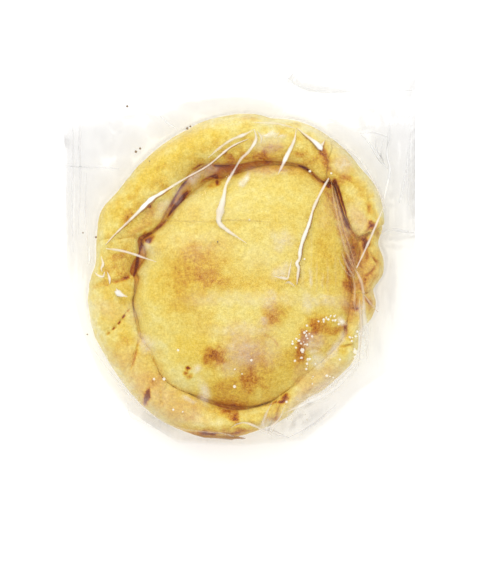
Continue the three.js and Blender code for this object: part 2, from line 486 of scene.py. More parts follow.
def seen(red: int, green: int, blue: int, haze: float = 0.02, gain: float = 1.2) -> Colour:
    """The paint that shows as a colour of 0 to 255 under the studio's light and the film."""
    # the linear colour, ((c + 0.055) / 1.055)^2.4, less the film's haze, over the light that gets through
    return tuple(max((((c / 255 + 0.055) / 1.055) ** 2.4 - haze) / gain, 0.002) for c in (red, green, blue))


# The pie's form, with the values of the part's own source


@dataclass(frozen=True)
class Oval:
    """A tilted oval in plan, shifted from the origin."""

    long: float
    short: float
    x: float
    y: float
    tilt: float = 62.0

    def radius(self, degrees: Array) -> Array:
        """The distance from the origin to the oval, along an angle: the positive root of its equation.

        Args:
            degrees: The angles.

        Returns:
            One distance for each angle.
        """
        along = np.radians(degrees - self.tilt)
        tilt = math.radians(self.tilt)
        dx, dy = np.cos(along) / self.long, np.sin(along) / self.short
        cx = (self.x * math.cos(tilt) + self.y * math.sin(tilt)) / self.long
        cy = (self.y * math.cos(tilt) - self.x * math.sin(tilt)) / self.short
        a, b, c = dx * dx + dy * dy, dx * cx + dy * cy, cx * cx + cy * cy - 1.0
        return (b + np.sqrt(b * b - a * c)) / a


@dataclass(frozen=True)
class Lobe:
    """A bulge or pinch of an oval: where, how far out, and over how many degrees."""

    at: float
    out: float
    reach: float


@dataclass(frozen=True)
class Gap:
    """A stretch where the seam between lip and lid opens."""

    at: float
    reach: float
    crest_up: float
    lip_down: float
    deeper: float
    wider: float


@dataclass(frozen=True)
class Tuck:
    """A tuck of the rolled rim, from its outer angle to its inner one. Its flap lies on one side."""

    outer: float
    inner: float
    lift: float
    reach: float
    covers: int


@dataclass(frozen=True)
class Lump:
    """A swelling of the lid over a lump of filling."""

    x: float
    y: float
    up: float
    reach: float


@dataclass
class PieForm:
    """The pie's skin as a section that runs round the middle, from the underside to the lid's top."""

    outline: Oval = Oval(56.0, 48.5, 0.0, 1.0)
    lip_oval: Oval = Oval(43.5, 37.0, 3.0, -2.0)
    lid_top: float = 25.5
    underside_round: float = 6.0
    underside_height: float = 0.15
    widest_at: float = 7.5
    crest_height: float = 17.0
    crest_share: float = 0.48
    lip_height: float = 13.2
    seam_depth: float = 1.0
    seam_width: float = 0.6
    seam_undercut: float = 0.45
    lid_spread: float = 2.5
    lid_round: float = 0.56
    lid_edge: float = 4.0
    filled_round: float = 0.74
    filled_width: float = 0.2
    full_fill: float = 2.2
    seam_fall: float = 2.2
    flank_hang: float = 0.3
    lip_hang: float = 0.6
    groove: float = 0.42
    groove_reach: float = 1.4
    tuck_outward: float = 0.45
    lip_lift_share: float = 0.3
    flap_edge_degrees: float = 1.1
    flap_overhang: float = 1.0
    gaps: tuple[Gap, ...] = rows(
        Gap,
        (108, 26, 1.4, 1.6, 2.2, 4.2), (172, 9, 0, 0.6, 1.2, 2), (17, 16, 0, 0, -0.3, 2.4),
    )
    rim_lobes: tuple[Lobe, ...] = rows(
        Lobe,
        (30, 2, 9), (13, -1.9, 4), (355, -2.6, 4.5), (336, -2.4, 5), (322, 1, 6), (298, -1.4, 7),
        (256, 0.8, 8), (268, 1.4, 15), (221, -1.7, 12), (175, -1.4, 6), (154, 2.2, 8), (78, -1.5, 6),
    )
    lip_line: Stops = (
        (1, -1.5), (7, -1), (14, -0.1), (18, 0.1), (22, -1), (27, -1.5), (35, -0.5), (39, 0.6), (43.5, 2),
        (46.5, 0.4), (50, -0.3), (58, 0.4), (64, -0.2), (72, -1), (83, -1.5), (90, -1.3), (98, 0), (105, 2),
        (112, 1.9), (118, 1.2), (130, -0.4), (139, -1.6), (146, -2), (153, -0.7), (159, 1.8), (163, 0.7),
        (167, 0), (173, 1), (178, 1.2), (182, -0.6), (189, -0.7), (195, -0.1), (204, -0.9), (212, -0.9),
        (221, -2), (228, -1.3), (234, -0.2), (242, -0.4), (250, -1), (260, -0.3), (268, 0.9), (278, 1.5),
        (286, 1.3), (292, 0.4), (303, -0.8), (309, -0.7), (318, 0.2), (328, 1.1), (334, 0.6), (345, -1),
        (354, -1.6),
    )
    tucks: tuple[Tuck, ...] = rows(
        Tuck,
        (20, 18, 2.2, 14, 1), (58, 47, 0.8, 14, 1), (169, 158, 0.9, 8, 1), (185, 180, 0.16, 8, -1),
        (207, 197, 0.15, 10, -1), (225.5, 213, 0.2, 10, -1), (242, 237, 0.22, 12, -1),
        (271, 270, 0.2, 9, -1), (281, 290, 1.2, 7, 1), (330, 326, 0.35, 9, -1), (341, 337, 0.12, 7, 1),
        (355, 351, 0.35, 8, 1),
    )
    fills: tuple[Lobe, ...] = rows(
        Lobe,
        (317, 2.8, 20), (229, 2.2, 24), (26, 2, 12), (348, 2.4, 14), (299, 1.8, 10),
    )
    # how dark the seam's painted shade is, by angle
    seam_shade_tone: Stops = (
        (0, 0.15), (17, 0.1), (31, 0.25), (43, 0.85), (62, 0.6), (79, 0.65), (98, 0.8), (106, 0.5),
        (114, 0.4), (124, 0.6), (140, 0.8), (157, 0.9), (174, 0.95), (186, 0.6), (196, 0.5), (210, 0.2),
        (225, 0.1), (243, 0.2), (252, 0.28), (260, 0.5), (268, 0.75), (274, 0.65), (282, 0.45), (290, 0.3),
        (298, 0.12), (312, 0), (334, 0), (347, 0.05),
    )
    lumps: tuple[Lump, ...] = rows(
        Lump,
        (-14, 4, 1.2, 9), (13, -12, 0.7, 6), (3, -24, 1.2, 9), (24, -20, 1, 6), (8, 20, 0.8, 11),
        (-17, -20, -0.7, 7),
    )

    def lean(self, degrees: Array) -> Array:
        """How far a line that starts at an outer angle has turned at the lip: straight between tucks."""
        return round_value(degrees, tuple((tuck.outer, turn(tuck.outer, tuck.inner)) for tuck in self.tucks))

    @staticmethod
    def lobes(lobes: tuple[Lobe, ...], degrees: Array) -> Array:
        """The sum of a list's lobes at an angle, each a bell."""
        return sum(lobe.out * bell(turn(lobe.at, degrees), lobe.reach) for lobe in lobes)

    def gap(self, size: str, degrees: Array) -> Array:
        """One of the gaps' sizes at an angle, as a sum of bells."""
        return sum(getattr(gap, size) * bell(turn(gap.at, degrees), gap.reach) for gap in self.gaps)

    def flaps(self, degrees: Array) -> tuple[Array, Array]:
        """The flaps of the tucks, at an outer angle.

        Past a tuck, on the side that covers, the skin rises over the first degree as a quarter sine
        and dies away exponentially. On the other side it dips in a bell. The rising edge leans over
        the dip by half a sine.

        Args:
            degrees: The outer angles.

        Returns:
            How far the skin stands out, and how far its edge leans over, both in millimetres. The
            lean is counted counter-clockwise.
        """
        lift, over = np.zeros_like(degrees), np.zeros_like(degrees)
        for tuck in self.tucks:
            past = turn(tuck.outer, degrees) * tuck.covers
            edge = np.clip(past / self.flap_edge_degrees, 0.0, 1.0)
            lift += tuck.lift * np.sin(edge * np.pi / 2) * np.exp(-np.maximum(past, 0.0) / tuck.reach)
            lift -= self.groove * tuck.lift * bell(past, self.groove_reach) * (1.0 - edge)
            over -= tuck.covers * self.flap_overhang * min(tuck.lift, 1.0) * np.sin(np.pi * edge)
        return lift, over

    def seam_shade_strength(self, degrees: Array) -> Array:
        """How dark the seam's painted shade is at an angle."""
        return round_value(degrees, self.seam_shade_tone)

    def lump_height(self, x: Array, y: Array) -> Array:
        """The height of the lid's lumps at a place, as a sum of bells."""
        return sum(lump.up * bell(np.hypot(x - lump.x, y - lump.y), lump.reach) for lump in self.lumps)

    def radius(self, degrees: Array) -> Array:
        """The rim's outer radius at an angle: the outline oval and its lobes."""
        return self.outline.radius(degrees) + self.lobes(self.rim_lobes, degrees)

    def outside(self, place: Array) -> Array:
        """How far places in plan lie outside the rim. It is negative over the pie."""
        degrees = np.degrees(np.arctan2(place[..., 1], place[..., 0]))
        return np.hypot(place[..., 0], place[..., 1]) - self.radius(degrees)

    def lip_radius(self, degrees: Array) -> Array:
        """The lip's radius at an angle: the lip oval, and a smooth path through the lip line's stops.

        Args:
            degrees: The angles.

        Returns:
            One radius for each angle.
        """
        stops = np.array(self.lip_line)
        wrapped = np.vstack([stops[-2:] - (360.0, 0.0), stops, stops[:2] + (360.0, 0.0)])
        path = smooth_path(wrapped, 1.0)
        return self.lip_oval.radius(degrees) + np.interp(degrees % 360.0, path[:, 0], path[:, 1])


@dataclass(frozen=True)
class Field:
    """A soft-edged oval in plan: its middle, its half lengths and its tilt."""

    x: float
    y: float
    rx: float
    ry: float
    tilt: float

    def share(self, x: Array, y: Array, power: float = 3.0) -> Array:
        """How far places are in the field: exp(-d^power) of the distance d in the oval's own measure.

        Args:
            x: The places' x.
            y: Their y.
            power: How flat the top and how sharp the edge is.

        Returns:
            A share from 0 to 1 for each place.
        """
        tilt = math.radians(self.tilt)
        dx, dy = x - self.x, y - self.y
        long = (dx * math.cos(tilt) + dy * math.sin(tilt)) / self.rx
        short = (dy * math.cos(tilt) - dx * math.sin(tilt)) / self.ry
        return np.exp(-(np.hypot(long, short) ** power))


@dataclass(frozen=True)
class Patch(Field):
    """A field of the crust: how much darker it is, and its flush.

    Most fields are browning; some are painted shade, and some lighter ones painted light, on slopes
    that face away from the light. The flush runs from -1, yolk yellow, to 1, pinkish.
    """

    bake: float
    flush: float = 0.0


@dataclass(frozen=True)
class Fold:
    """A fold, wrinkle or crack of the crust along a path in plan.

    A positive depth cuts in and a negative one stands up. The char and shade is how dark its bottom is:
    charred dough, with painted shade in the crease.
    """

    path: Stops
    depth: float
    width: float
    char: float = 0.0
    dashes: float = 0.0


PATCHES: tuple[Patch, ...] = rows(
    Patch,
    # the lid, and the flap at its right
    (-13, 3.8, 10.4, 8.4, 0, 0.31, 0.25), (-12, -8.5, 5, 3, -10, -0.04, 0.5), (-6, -1.5, 8, 3, -5, 0.12),
    (-21, -5, 9, 8, 20, 0.09, -0.15), (-30.5, 4, 3, 10, -4, -0.2), (-29, -12, 2.6, 8, 12, -0.1, -0.2),
    (-25.5, -24, 3.4, 7, 38, -0.2), (-18, -33.5, 7, 3.4, -38, -0.2), (2, -11, 12, 4, 0, -0.1),
    (20, -8, 6, 5, 0, -0.06), (-12, 13.5, 14, 3.4, 0, -0.06), (8, 8, 10, 6, 0, -0.06),
    (5, -2.8, 15, 2.2, 0, 0.13), (-15, -11, 10, 5, -30, 0.1), (-12.5, -24, 8, 5, -38, 0.1, -0.75),
    (-7.6, -27.4, 3.4, 4.2, 10, 0.5), (3, -24.8, 8.2, 7, 0, 0.24, 0.75), (9.5, -30.5, 7, 5.5, 0, 0.15, 0.2),
    (5, -35.6, 5, 4.2, 0, 0.29, -0.1), (-3, -38.6, 8.5, 5, 5, 0.16, -0.3), (-1.5, -43, 7, 2, 3, 0.24, 0),
    (-5.6, -39.2, 4, 3.4, 0, 0.12, -0.1), (15, -31, 4.4, 9, -25, 0.09, -0.3),
    (12.6, -12.6, 3.8, 4.8, -15, 0.4, 0.4), (17, -9.5, 6, 5, 0, 0.08), (27, -15.6, 3.2, 3.6, 10, 0.44),
    (21.8, -25.2, 2.2, 5.6, -10, 0.42, 0.2), (24.6, -19, 2.2, 2.6, -35, 0.3, 0.1),
    (33, -18.2, 3.4, 2.2, -8, 0.36), (27, -22, 4.4, 3.4, 0, 0.2, 0.9), (21.5, -33, 3, 4, -20, 0.12, 0.8),
    (36.9, -18, 0.8, 1.6, 0, 0.3, 0), (37.6, -2.8, 1.9, 3.4, 5, 0.4), (37.2, 3.6, 1.4, 4.6, 15, 0.34, 0.1),
    (30, 6, 5, 16, 8, 0.16, -0.3), (36.4, 16.4, 2.2, 10, 16, 0.32, 0.25),
    (40.6, 12.6, 2.6, 3.4, 30, 0.26, 0.2), (46, 14.6, 3.4, 2.4, 0, 0.16, 0.2),
    (38.2, 4.6, 2.2, 6, 8, 0.3, 0.4), (38.6, -8, 3, 6, 0, 0.24, 0.7), (31.4, 24, 1.6, 5, 14, 0.16, 0.1),
    (33.9, 30.4, 0.8, 2.6, 14, 0.34, 0.2), (38.6, 32.6, 5, 1.2, -22, 0.18, -0.4),
    (44.6, 24.6, 1.3, 4.4, 6, 0.2), (48, 26, 2, 7, 18, -0.28, 0.2), (41, 19, 2.4, 5, 20, 0.06, 0.8),
    (40.6, 27, 2, 5, 20, -0.1, 0.2), (36.4, 28, 1.4, 3, 15, 0.12, -0.3), (33, -7, 6, 4, 0, 0, 0.2),
    (30.8, 28.6, 1.8, 4, 12, 0.3), (33.6, 31.4, 2.2, 1.8, 0, 0.24), (-16.4, -31.3, 0.8, 0.7, 0, 1),
    (-17.3, -32.8, 0.9, 0.8, 0, 0.75, 0.2), (-15.8, -34, 1.1, 0.8, 0, 0.65, 0.2), (2, 27, 17, 8, 0, -0.13),
    # the rolled rim, and the lid beside it
    # the first field below darkens the front flank: its browner side with a painted shadow under the edge
    (-9, -56.8, 18, 3.2, 0, 0.8, 0.1), (4, -33, 12, 7, 0, 0.05), (-5, -39.6, 6, 4.6, 0, 0.04, 0.1),
    (6, -38, 6, 5, 0, 0.08, 0.2), (19, -26, 3.4, 8, -10, 0.07), (-20, -27, 5, 5, 0, 0.02, -0.35),
    (-34, -36, 5, 3, -50, 0, 0.5), (-16, -43, 4, 2, -20, 0.09, 0.5), (-29, 1, 4, 11, 8, 0.01, -0.45),
    (8, 27, 14, 7, 0, 0, -0.3), (-31, 35, 10, 5, 45, 0.03, -0.5), (6.6, -54.4, 4, 1.2, 18, 0.3),
    (-6, -52.8, 12, 1.8, -4, 0.22, 0.5), (-22, -44, 10, 7, -25, -0.05, 0.7),
    (-22, 42, 16, 7, 34, 0.06, -0.85), (-9, 48.6, 7, 3, 18, -0.08, -0.3), (-41, 22, 6, 7, 50, 0.04, -0.6),
    # painted light on the left flank, which faces away from the light
    (-46.6, 18, 2.2, 9, -18, -0.12, -0.6), (-48.4, 4, 1.8, 8, 0, -0.14, -0.5),
    (-35.6, 21.4, 4.2, 1.8, 46, 0.26, -0.1), (-40, -6.5, 5, 2.6, 0, 0, -0.7),
    (-37.5, -18.5, 3, 3.6, 30, 0.02, -0.6), (36, -26.5, 3, 1.6, 0, 0, -0.6),
    # the first two fields below are painted shade on the rim's inner slope at the top and the lid's edge
    # under it
    (19, 40, 12, 2.6, -14, 0.2, 0.1), (12, 36.2, 12, 1.6, -4, 0.34, 0.4), (-14, 38, 14, 3, 38, 0.12, 0.1),
    (-2, 38.6, 6, 3.4, 15, 0.34, 0), (-7.4, 31.4, 4.2, 2, 22, 0.42, 0), (0.6, 35.2, 3, 1.8, 10, 0.24, -0.2),
    (-31.5, 18.2, 8, 2.4, 47, 0.22, 0.6), (-29.3, 23.2, 0.9, 0.8, 0, 0.6, 0.2),
    (45, -2, 6, 14, 0, 0.18, 0.6), (36, 38, 5, 4, -40, 0.06, 0.35), (31.5, 46, 6, 2, -35, -0.12, 0.3),
    (-30, -34, 7, 8, 30, 0.04, 0.5), (-29, -35.4, 4, 3.4, 0, 0.16, 0.8), (3.9, 53.7, 3, 1, 0, 0.24, 0.3),
    (8.5, 40, 3.6, 2, 0, 0.44), (24.5, 41.6, 5, 3.6, -15, 0.18), (27, 47.4, 6, 2.2, -32, -0.1),
    (30.2, 40.4, 1.9, 5.2, 12, 0.42, 0.2), (37.5, 32.6, 3.4, 1.3, -25, 0.2),
    (43.4, 28.5, 2.4, 3.4, -30, 0.24, 0.1), (45.7, 17.2, 1.8, 1.8, 0, 0.42),
    (48.4, 14.6, 1.2, 3, 0, 0.3, 0.2), (43.1, 11.2, 1.3, 1.9, 0, 0.5), (42.6, 4, 3.6, 7, 0, 0.1, 0.3),
    (44, -2.2, 3, 2.6, 0, 0.24), (46.6, -10.4, 1.8, 2.4, 0, 0.38, 0.3), (39, -11.5, 3, 5, 0, 0.16, 0.6),
    # the last two fields here and the first on the next line are painted light on the lower rim, facing away
    # from the light
    (39.5, -20.2, 3, 1.8, 0, 0.22), (30, -34, 10, 4.6, 38, -0.02, 0.8), (23, -41, 8, 3.4, 33, -0.12, 0.5),
    (-12, -48.8, 9, 2.6, -8, -0.1, 0.3), (13.6, -47.2, 1.4, 4, -18, 0.16),
    (15.8, -41.4, 1.5, 1.7, -30, 0.44), (4, -52.5, 4.6, 1.4, -5, 0.34, 0.1), (0.9, -47.8, 2, 2.2, 0, 0.22),
    (-29.9, 13.2, 1.8, 1.9, 0, 0.5), (-0.8, -46.8, 4.2, 2.8, -25, 0.52, 0),
    (-18.5, -44.5, 8, 4, -20, 0.08, 0.55), (-30.3, -40.8, 1.5, 2.4, -15, 1.2),
    (-28.4, -36.6, 3, 2.2, 0, 0.1, 0.55), (-37.5, -28, 5, 5, 0, 0.05, 0.55),
    (-36.3, -21.6, 5, 1.5, 10, 0.16, 0.3), (-43.5, -10.5, 5, 4, 0, -0.01, 0.55), (-44, -14, 6, 8, 0, -0.04),
    (4, 50.4, 13, 3, 0, -0.07), (-45.4, -2.6, 3.2, 1.2, 10, 0.28, 0.1), (-40, -0.8, 3.4, 1.3, 20, 0.26),
    (-38.6, 4.4, 5.6, 4.4, 20, 0.32, 0.15), (-38, 20, 4, 5, 40, 0.13, 0.2), (-33, 27, 3.5, 4, 40, 0.1, 0.1),
    (-25.1, 37.2, 2.2, 1.4, 0, 0.18, 0.3), (-15.1, 42, 4, 2.4, 30, 0.11),
)

FOLDS: tuple[Fold, ...] = rows(
    Fold,
    # the long flap at the right, its rounded end, and the crumpled roll below it
    (((33.4, 32), (34.6, 27.6), (36, 22.6), (37.6, 17.6), (39.2, 14.4), (41, 12.8)), 0.6, 0.7, 0.55),
    (((41, 12.8), (42.4, 12.2), (43.6, 13.6), (44.6, 15.8), (46.2, 17.4), (48, 17.6)), 0.7, 0.6, 0.45),
    (((42.6, 12.6), (43, 10.4), (44.2, 7.4), (43.6, 4.6)), 0.8, 0.6, 0.35),
    (((37.6, 22), (40, 17.5), (41.6, 14.8)), -0.9, 2),
    (((33.2, 29.6), (34.2, 24.6), (35.8, 18), (37.6, 11.6), (39.2, 6)), 0.25, 0.35, 0.2),
    (((32.2, 28), (33.2, 22.6), (34.8, 15.6), (36.6, 8.8), (38, 3.4)), 0.25, 0.4, 0.16),
    (((44.8, 29.6), (45, 24), (44, 20), (43.5, 15.4)), 0.35, 0.5, 0.16),
    (((46.4, 24.4), (47.4, 21.2), (47, 18.4)), 0.35, 0.5, 0.12),
    (((31.6, 29.6), (31.2, 31.4), (31.4, 32.8)), 0.5, 0.6, 0.75),
    (((47, 14.6), (48, 13), (48.2, 10.8)), 0.4, 0.5, 0.2),
    (((44.8, 8.4), (47.2, 5.2), (48.9, 4.4), (49.6, 1.6), (48.9, -1.6), (46.6, -4.6)), 0.7, 0.5, 0.45),
    (((46.6, 5.8), (47.6, 4.4), (48, 2.6)), 0.5, 0.4, 0.35),
    (((42.8, 0.2), (44.4, 0.5), (45.8, 1.6), (46.8, 3.4)), 0.6, 0.5, 0.55),
    (((43.2, -1.4), (43.8, -1)), 0.5, 0.5, 0.4), (((44.6, -4), (46, -2.4), (47.2, 0)), 0.5, 0.45, 0.4),
    (((45.2, 3.4), (47.4, 2), (47.8, -0.8)), -0.6, 1), (((43.2, 7), (46.6, 8.6), (49.2, 8.4)), -0.5, 1.2),
    (((41.6, 8.6), (41.2, 5), (42.4, 2.6)), 0.3, 0.5, 0.3),
    (((43.2, -5.8), (45, -5.4), (46.6, -6)), 0.5, 0.5, 0.4),
    (((43.4, -7.4), (44.4, -8.6), (45.6, -9.2), (47, -8.8), (47.4, -11.8)), 0.6, 0.5, 0.6),
    (((39.4, -11.3), (41.6, -11)), 0.4, 0.5, 0.6),
    (((41, -4.6), (40.6, -8.4), (39, -12.4)), 0.3, 0.5, 0.16),
    (((36.7, -15.6), (37, -20.4)), 0.3, 0.7, 0.22),
    (((34.6, -24), (37.6, -23.5), (40.6, -22.7)), 0.5, 0.35, 0.4),
    # the lid's blister edge, and the fold beside the lid at the bottom
    (((8.8, -19.4), (12.1, -21.2), (14.6, -24)), 0.22, 0.3, 0.35),
    (((15.4, -42.4), (13.7, -47.4), (11, -50.8)), 0.9, 0.6, 0.15),
    (((12.4, -42.8), (10.2, -47.4), (9.6, -50.4)), 0.6, 0.6, 0.1),
    (((10, -43.6), (13, -42.7), (15, -42.5), (17.2, -42.2)), 0.4, 0.5, 0.8),
    (((16.8, -39.2), (16.4, -40.6), (15.6, -41.8)), 0.3, 0.7, 0.45),
    (((16, -40), (19, -37.5), (21, -35), (22, -33.5)), 0.25, 0.35, 0.15),
    # along the pie's bottom edge: a shallow fold whose dark is a painted shadow under the edge
    (((-19, -53.4), (-12, -53.8), (-5, -53.4), (1.8, -54.4)), 0.3, 0.45, 0.35),
    (((3.6, -53.8), (6.4, -53.2), (8.6, -52)), 0.3, 0.5, 0.4),
    (((-1.8, -51.2), (3.3, -49.6), (8.5, -51.8)), 0.6, 0.5, 0.15),
    # the rim's lower left
    (((-25.7, -38), (-25.4, -40.6), (-25, -44.4)), 0.5, 0.5, 0.35),
    (((-32.9, -21.4), (-33.8, -25.6), (-34.8, -29.2), (-36.4, -32.8)), 0.4, 0.35, 0.4),
    (((-35.9, -11), (-37.5, -13), (-39.8, -16.1), (-42.7, -18.9), (-44.4, -20.4)), 0.5, 0.34, 1, 2.7),
    (((-35, 0.6), (-37, -0.6), (-42, -2.4)), 0.7, 0.8, 0.66),
    # the torn lip at the left end of the open gap
    (((-33.8, 13.3), (-32.4, 12.4), (-32.1, 10.6), (-33, 7.4), (-34, 3), (-35.2, -2)), 0.6, 0.45, 1.1),
    (((-31.2, 11.2), (-29.4, 12.6), (-28.4, 14.8)), 0.4, 1.2, 0.8),
    (((-24.2, 18.8), (-22.6, 20.6), (-21, 23.2), (-19.4, 25), (-17.2, 27.8), (-15, 29.4)), 0.2, 0.8, 1.3),
    (((-22.4, 23), (-21.2, 25.8), (-19.6, 28.6), (-17.2, 31.6), (-16.2, 33.4)), 0.2, 0.4, 1),
    (((-15, 34.8), (-12.8, 36.6), (-10.2, 37.7)), 0.2, 0.6, 1),
    (((-13.2, 31.4), (-10.4, 32.8), (-7.4, 34.2), (-6.6, 32.6), (-6.4, 30.8), (-5, 31)), 0.2, 0.5, 0.8),
    (((-7.8, 37.5), (-4.8, 37.4), (-2.2, 37.5)), 0.2, 0.5, 1.2),
    (((20.4, 37.6), (23.4, 36.6), (25.6, 34.8)), 0.2, 0.45, 0.8),
    (((33, 32.6), (33.9, 29.6), (35.2, 25.4), (36.4, 21.4), (37.8, 17.4), (39.6, 14)), 0.2, 0.6, 1.2),
    (((30, 31.8), (31, 30.9), (31.6, 30)), 0.2, 0.6, 1.2),
    (((-15.6, 28.6), (-17.6, 27), (-19.8, 24.4), (-21.6, 21.6), (-23.4, 19), (-26, 16.8), (-28.6, 14.8)),
     0.2, 0.6, 0.7),
    (((-19.6, 28.6), (-17.8, 31.4), (-15.6, 34), (-12.6, 36.6), (-8.6, 38)), 0.3, 0.5, 0.7),
)


@dataclass
class Crust:
    """The baked pie: one closed skin with its folds, wrinkles and browning."""

    form: PieForm
    columns: int = 640
    crowding: float = 2.5
    crowding_degrees: float = 2.0
    underside_rings: int = 7
    flank_rings: int = 10
    shoulder_rings: int = 40
    inside_rings: int = 24
    seam_rings: int = 12
    lid_rings: int = 56
    lid_crowding: float = 1.6
    lid_reach: float = 0.99
    relief: tuple[Mottle, ...] = rows(Mottle, (0, 0.38, 8.5, 11), (0, 0.13, 2.6, 12), (0, 0.065, 1.2, 13))
    upward: Span = (0.0, 0.6)
    side_patch_share: float = 0.4
    foot_darkening: float = 0.12
    foot_depth: Span = (-6.0, -1.0)
    edge_light: float = 0.17
    edge_light_reach: float = 2.6
    edge_light_over: Span = (-46.0, -32.0)
    lip_shade: float = 0.6
    lip_shade_from: float = 0.8
    lid_shade_reach: float = 0.014
    seam_shade_mottle: Mottle = Mottle(1.0, 0.35, 2.2, 14)
    fold_step: float = 1.0
    fold_fade: float = 4.0
    fold_end: float = 0.25
    char_and_shade_width: float = 0.75
    char_and_shade_least: float = 0.12
    dash_edges: Span = (-0.5, 0.4)
    warps: Stops = ((3.6, 1.3), (1.5, 1.04))
    calm_below: float = 2.5
    patches: tuple[Patch, ...] = PATCHES
    folds: tuple[Fold, ...] = FOLDS

    def angles(self) -> Array:
        """The columns' angles, drawn together near the tucks.

        The columns lie at even steps of a running sum of 1 plus a bell at each tuck.

        Returns:
            One angle in degrees for each column.
        """
        fine = np.linspace(0.0, 360.0, 7201)
        crowd = 1.0 + self.crowding * sum(
            bell(turn(tuck.outer, fine), self.crowding_degrees) for tuck in self.form.tucks)
        running = np.concatenate([[0.0], np.cumsum((crowd[1:] + crowd[:-1]) / 2)])
        stops = np.arange(self.columns) / self.columns * running[-1]
        return np.interp(stops, running, fine)

    def skin(self) -> tuple[Array, Array, Array]:
        """The smooth skin before its relief.

        The section has six stretches: a flat underside, a quarter round up the flank, a quarter oval
        over the shoulder to the crest, a quarter oval down inside to the lip, the seam's hollow, and
        the lid as a superellipse. A column leans with the tucks as it runs inwards, and the tucks'
        flaps hang over most at the crest.

        Returns:
            The points by ring and column, and two masks of the same shape: how much of the relief
            each takes, and how much painted shade it takes on the lip, in the seam's hollow and on the lid's
            edge.
        """
        form = self.form
        degrees = self.angles()
        lean = form.lean(degrees)
        lift, over = form.flaps(degrees)
        at_lip = degrees + lean
        outer, lip = form.radius(degrees), form.lip_radius(at_lip)
        crest = mix(outer, lip, form.crest_share)
        crest_height = form.crest_height + form.gap("crest_up", degrees) + lift
        fill = form.lobes(form.fills, at_lip)
        open_share = 1.0 - ease(fill, 0.0, form.full_fill)
        resting_lip = form.lip_height - form.gap("lip_down", at_lip) + fill
        lip_height = resting_lip + form.lip_lift_share * lift
        seam_height = resting_lip - form.seam_depth * open_share - form.gap("deeper", at_lip)
        width = (form.seam_width + form.gap("wider", at_lip)) * mix(form.filled_width, 1.0, open_share)
        foot, floor, widest = outer - form.underside_round, form.underside_height, form.widest_at

        counts = (self.underside_rings, self.flank_rings, self.shoulder_rings, self.inside_rings,
                  self.seam_rings, self.lid_rings)
        under, up, back, down, hollow, lid = ((np.arange(1, n + 1) / n)[:, None] for n in counts)
        up, back, down = up * np.pi / 2, back * np.pi / 2, down * np.pi / 2
        lid = 1.0 - lid**self.lid_crowding * self.lid_reach

        even_lid = form.lip_oval.radius(at_lip) - form.seam_width
        lid_radius = mix(even_lid, lip - width, lid**form.lid_edge) * lid
        lid_x, lid_y = lid_radius * np.cos(np.radians(at_lip)), lid_radius * np.sin(np.radians(at_lip))
        lid_rise = (1.0 - lid**form.lid_spread) ** mix(form.filled_round, form.lid_round, open_share)

        # the last mask is painted shade: on the lip's inner slope, in the seam's hollow and on the lid's edge
        stretches = (
            # radius, height, lean and overhang, then the two masks
            (foot * under, floor, 0.0, 0.0, 0.0, 0.0),
            (foot + form.underside_round * np.sin(up), floor + (widest - floor) * (1 - np.cos(up)),
             0.0, form.flank_hang * np.sin(up), np.sin(up) ** 3, 0.0),
            (crest + (outer - crest) * np.cos(back) + form.tuck_outward * lift * np.sin(2 * back),
             mix(widest, crest_height, np.sin(back)),
             form.crest_share * np.sin(back), mix(form.flank_hang, 1.0, np.sin(back)), 1.0, 0.0),
            (mix(crest, lip, np.sin(down)), mix(lip_height, crest_height, np.cos(down)),
             mix(form.crest_share, 1.0, np.sin(down)), mix(1.0, form.lip_hang, np.sin(down)), 1.0,
             self.lip_shade * ease(down / (np.pi / 2), self.lip_shade_from, 1.0)),
            (lip + form.seam_undercut * open_share * np.sin(np.pi * hollow) * (1 - hollow)
             - width * hollow**2,
             mix(lip_height, seam_height, 1 - (1 - hollow) ** form.seam_fall),
             1.0, form.lip_hang * (1 - hollow), 1 - hollow / 2,
             mix(self.lip_shade, 1.0, np.sin(np.pi * hollow))),
            (lid_radius, mix(seam_height, form.lid_top + form.lump_height(lid_x, lid_y), lid_rise),
             1.0, 0.0, 1.0, np.exp(-(1 - lid) / self.lid_shade_reach)),
        )
        layers = [np.stack(np.broadcast_arrays(*stretch)) for stretch in stretches]
        radius, height, leant, hung, takes, seam_shade = np.concatenate(layers, axis=1)
        angle = np.radians(degrees + leant * lean) + hung * over / outer
        points = np.stack([radius * np.cos(angle), radius * np.sin(angle), height], axis=-1)
        return points, takes, seam_shade * form.seam_shade_strength(at_lip)

    @staticmethod
    def normals(points: Array) -> Array:
        """The outward normals of a grid: its column direction crossed with its ring direction.

        Args:
            points: The grid, by ring and column.

        Returns:
            One unit direction for each point.
        """
        across = np.roll(points, -1, axis=1) - np.roll(points, 1, axis=1)
        along = np.gradient(points, axis=0)
        normal = np.cross(across, along)
        return normal / np.maximum(np.linalg.norm(normal, axis=-1, keepdims=True), 1e-9)

    def fold_marks(self, place: Array) -> tuple[Array, Array]:
        """The folds' relief, and their char with painted shade, at places in plan.

        Across a fold both fall off as a bell. Along it they fade over its ends, and a dashed fold's
        char comes and goes as a sine of the distance along it.

        Args:
            place: Places in plan, x and y along the last axis.

        Returns:
            How far the skin stands out in millimetres, and how dark it is painted: char and shade.
        """
        relief, char = np.zeros(place.shape[:-1]), np.zeros(place.shape[:-1])
        for fold in self.folds:
            path = smooth_path(np.array(fold.path), self.fold_step)
            away, share = distance_to_path(place, path)
            fade = np.clip(self.fold_fade * np.minimum(share, 1.0 - share) + self.fold_end, 0.0, 1.0)
            relief -= fold.depth * fade * bell(away, fold.width)
            dark = fold.char * fade * bell(away, self.char_and_shade_width * fold.width + self.char_and_shade_least)
            if fold.dashes:
                wave = np.sin(2 * np.pi * share * path_length(path) / fold.dashes)
                dark = dark * ease(wave, *self.dash_edges)
            char = np.maximum(char, dark)
        return relief, char

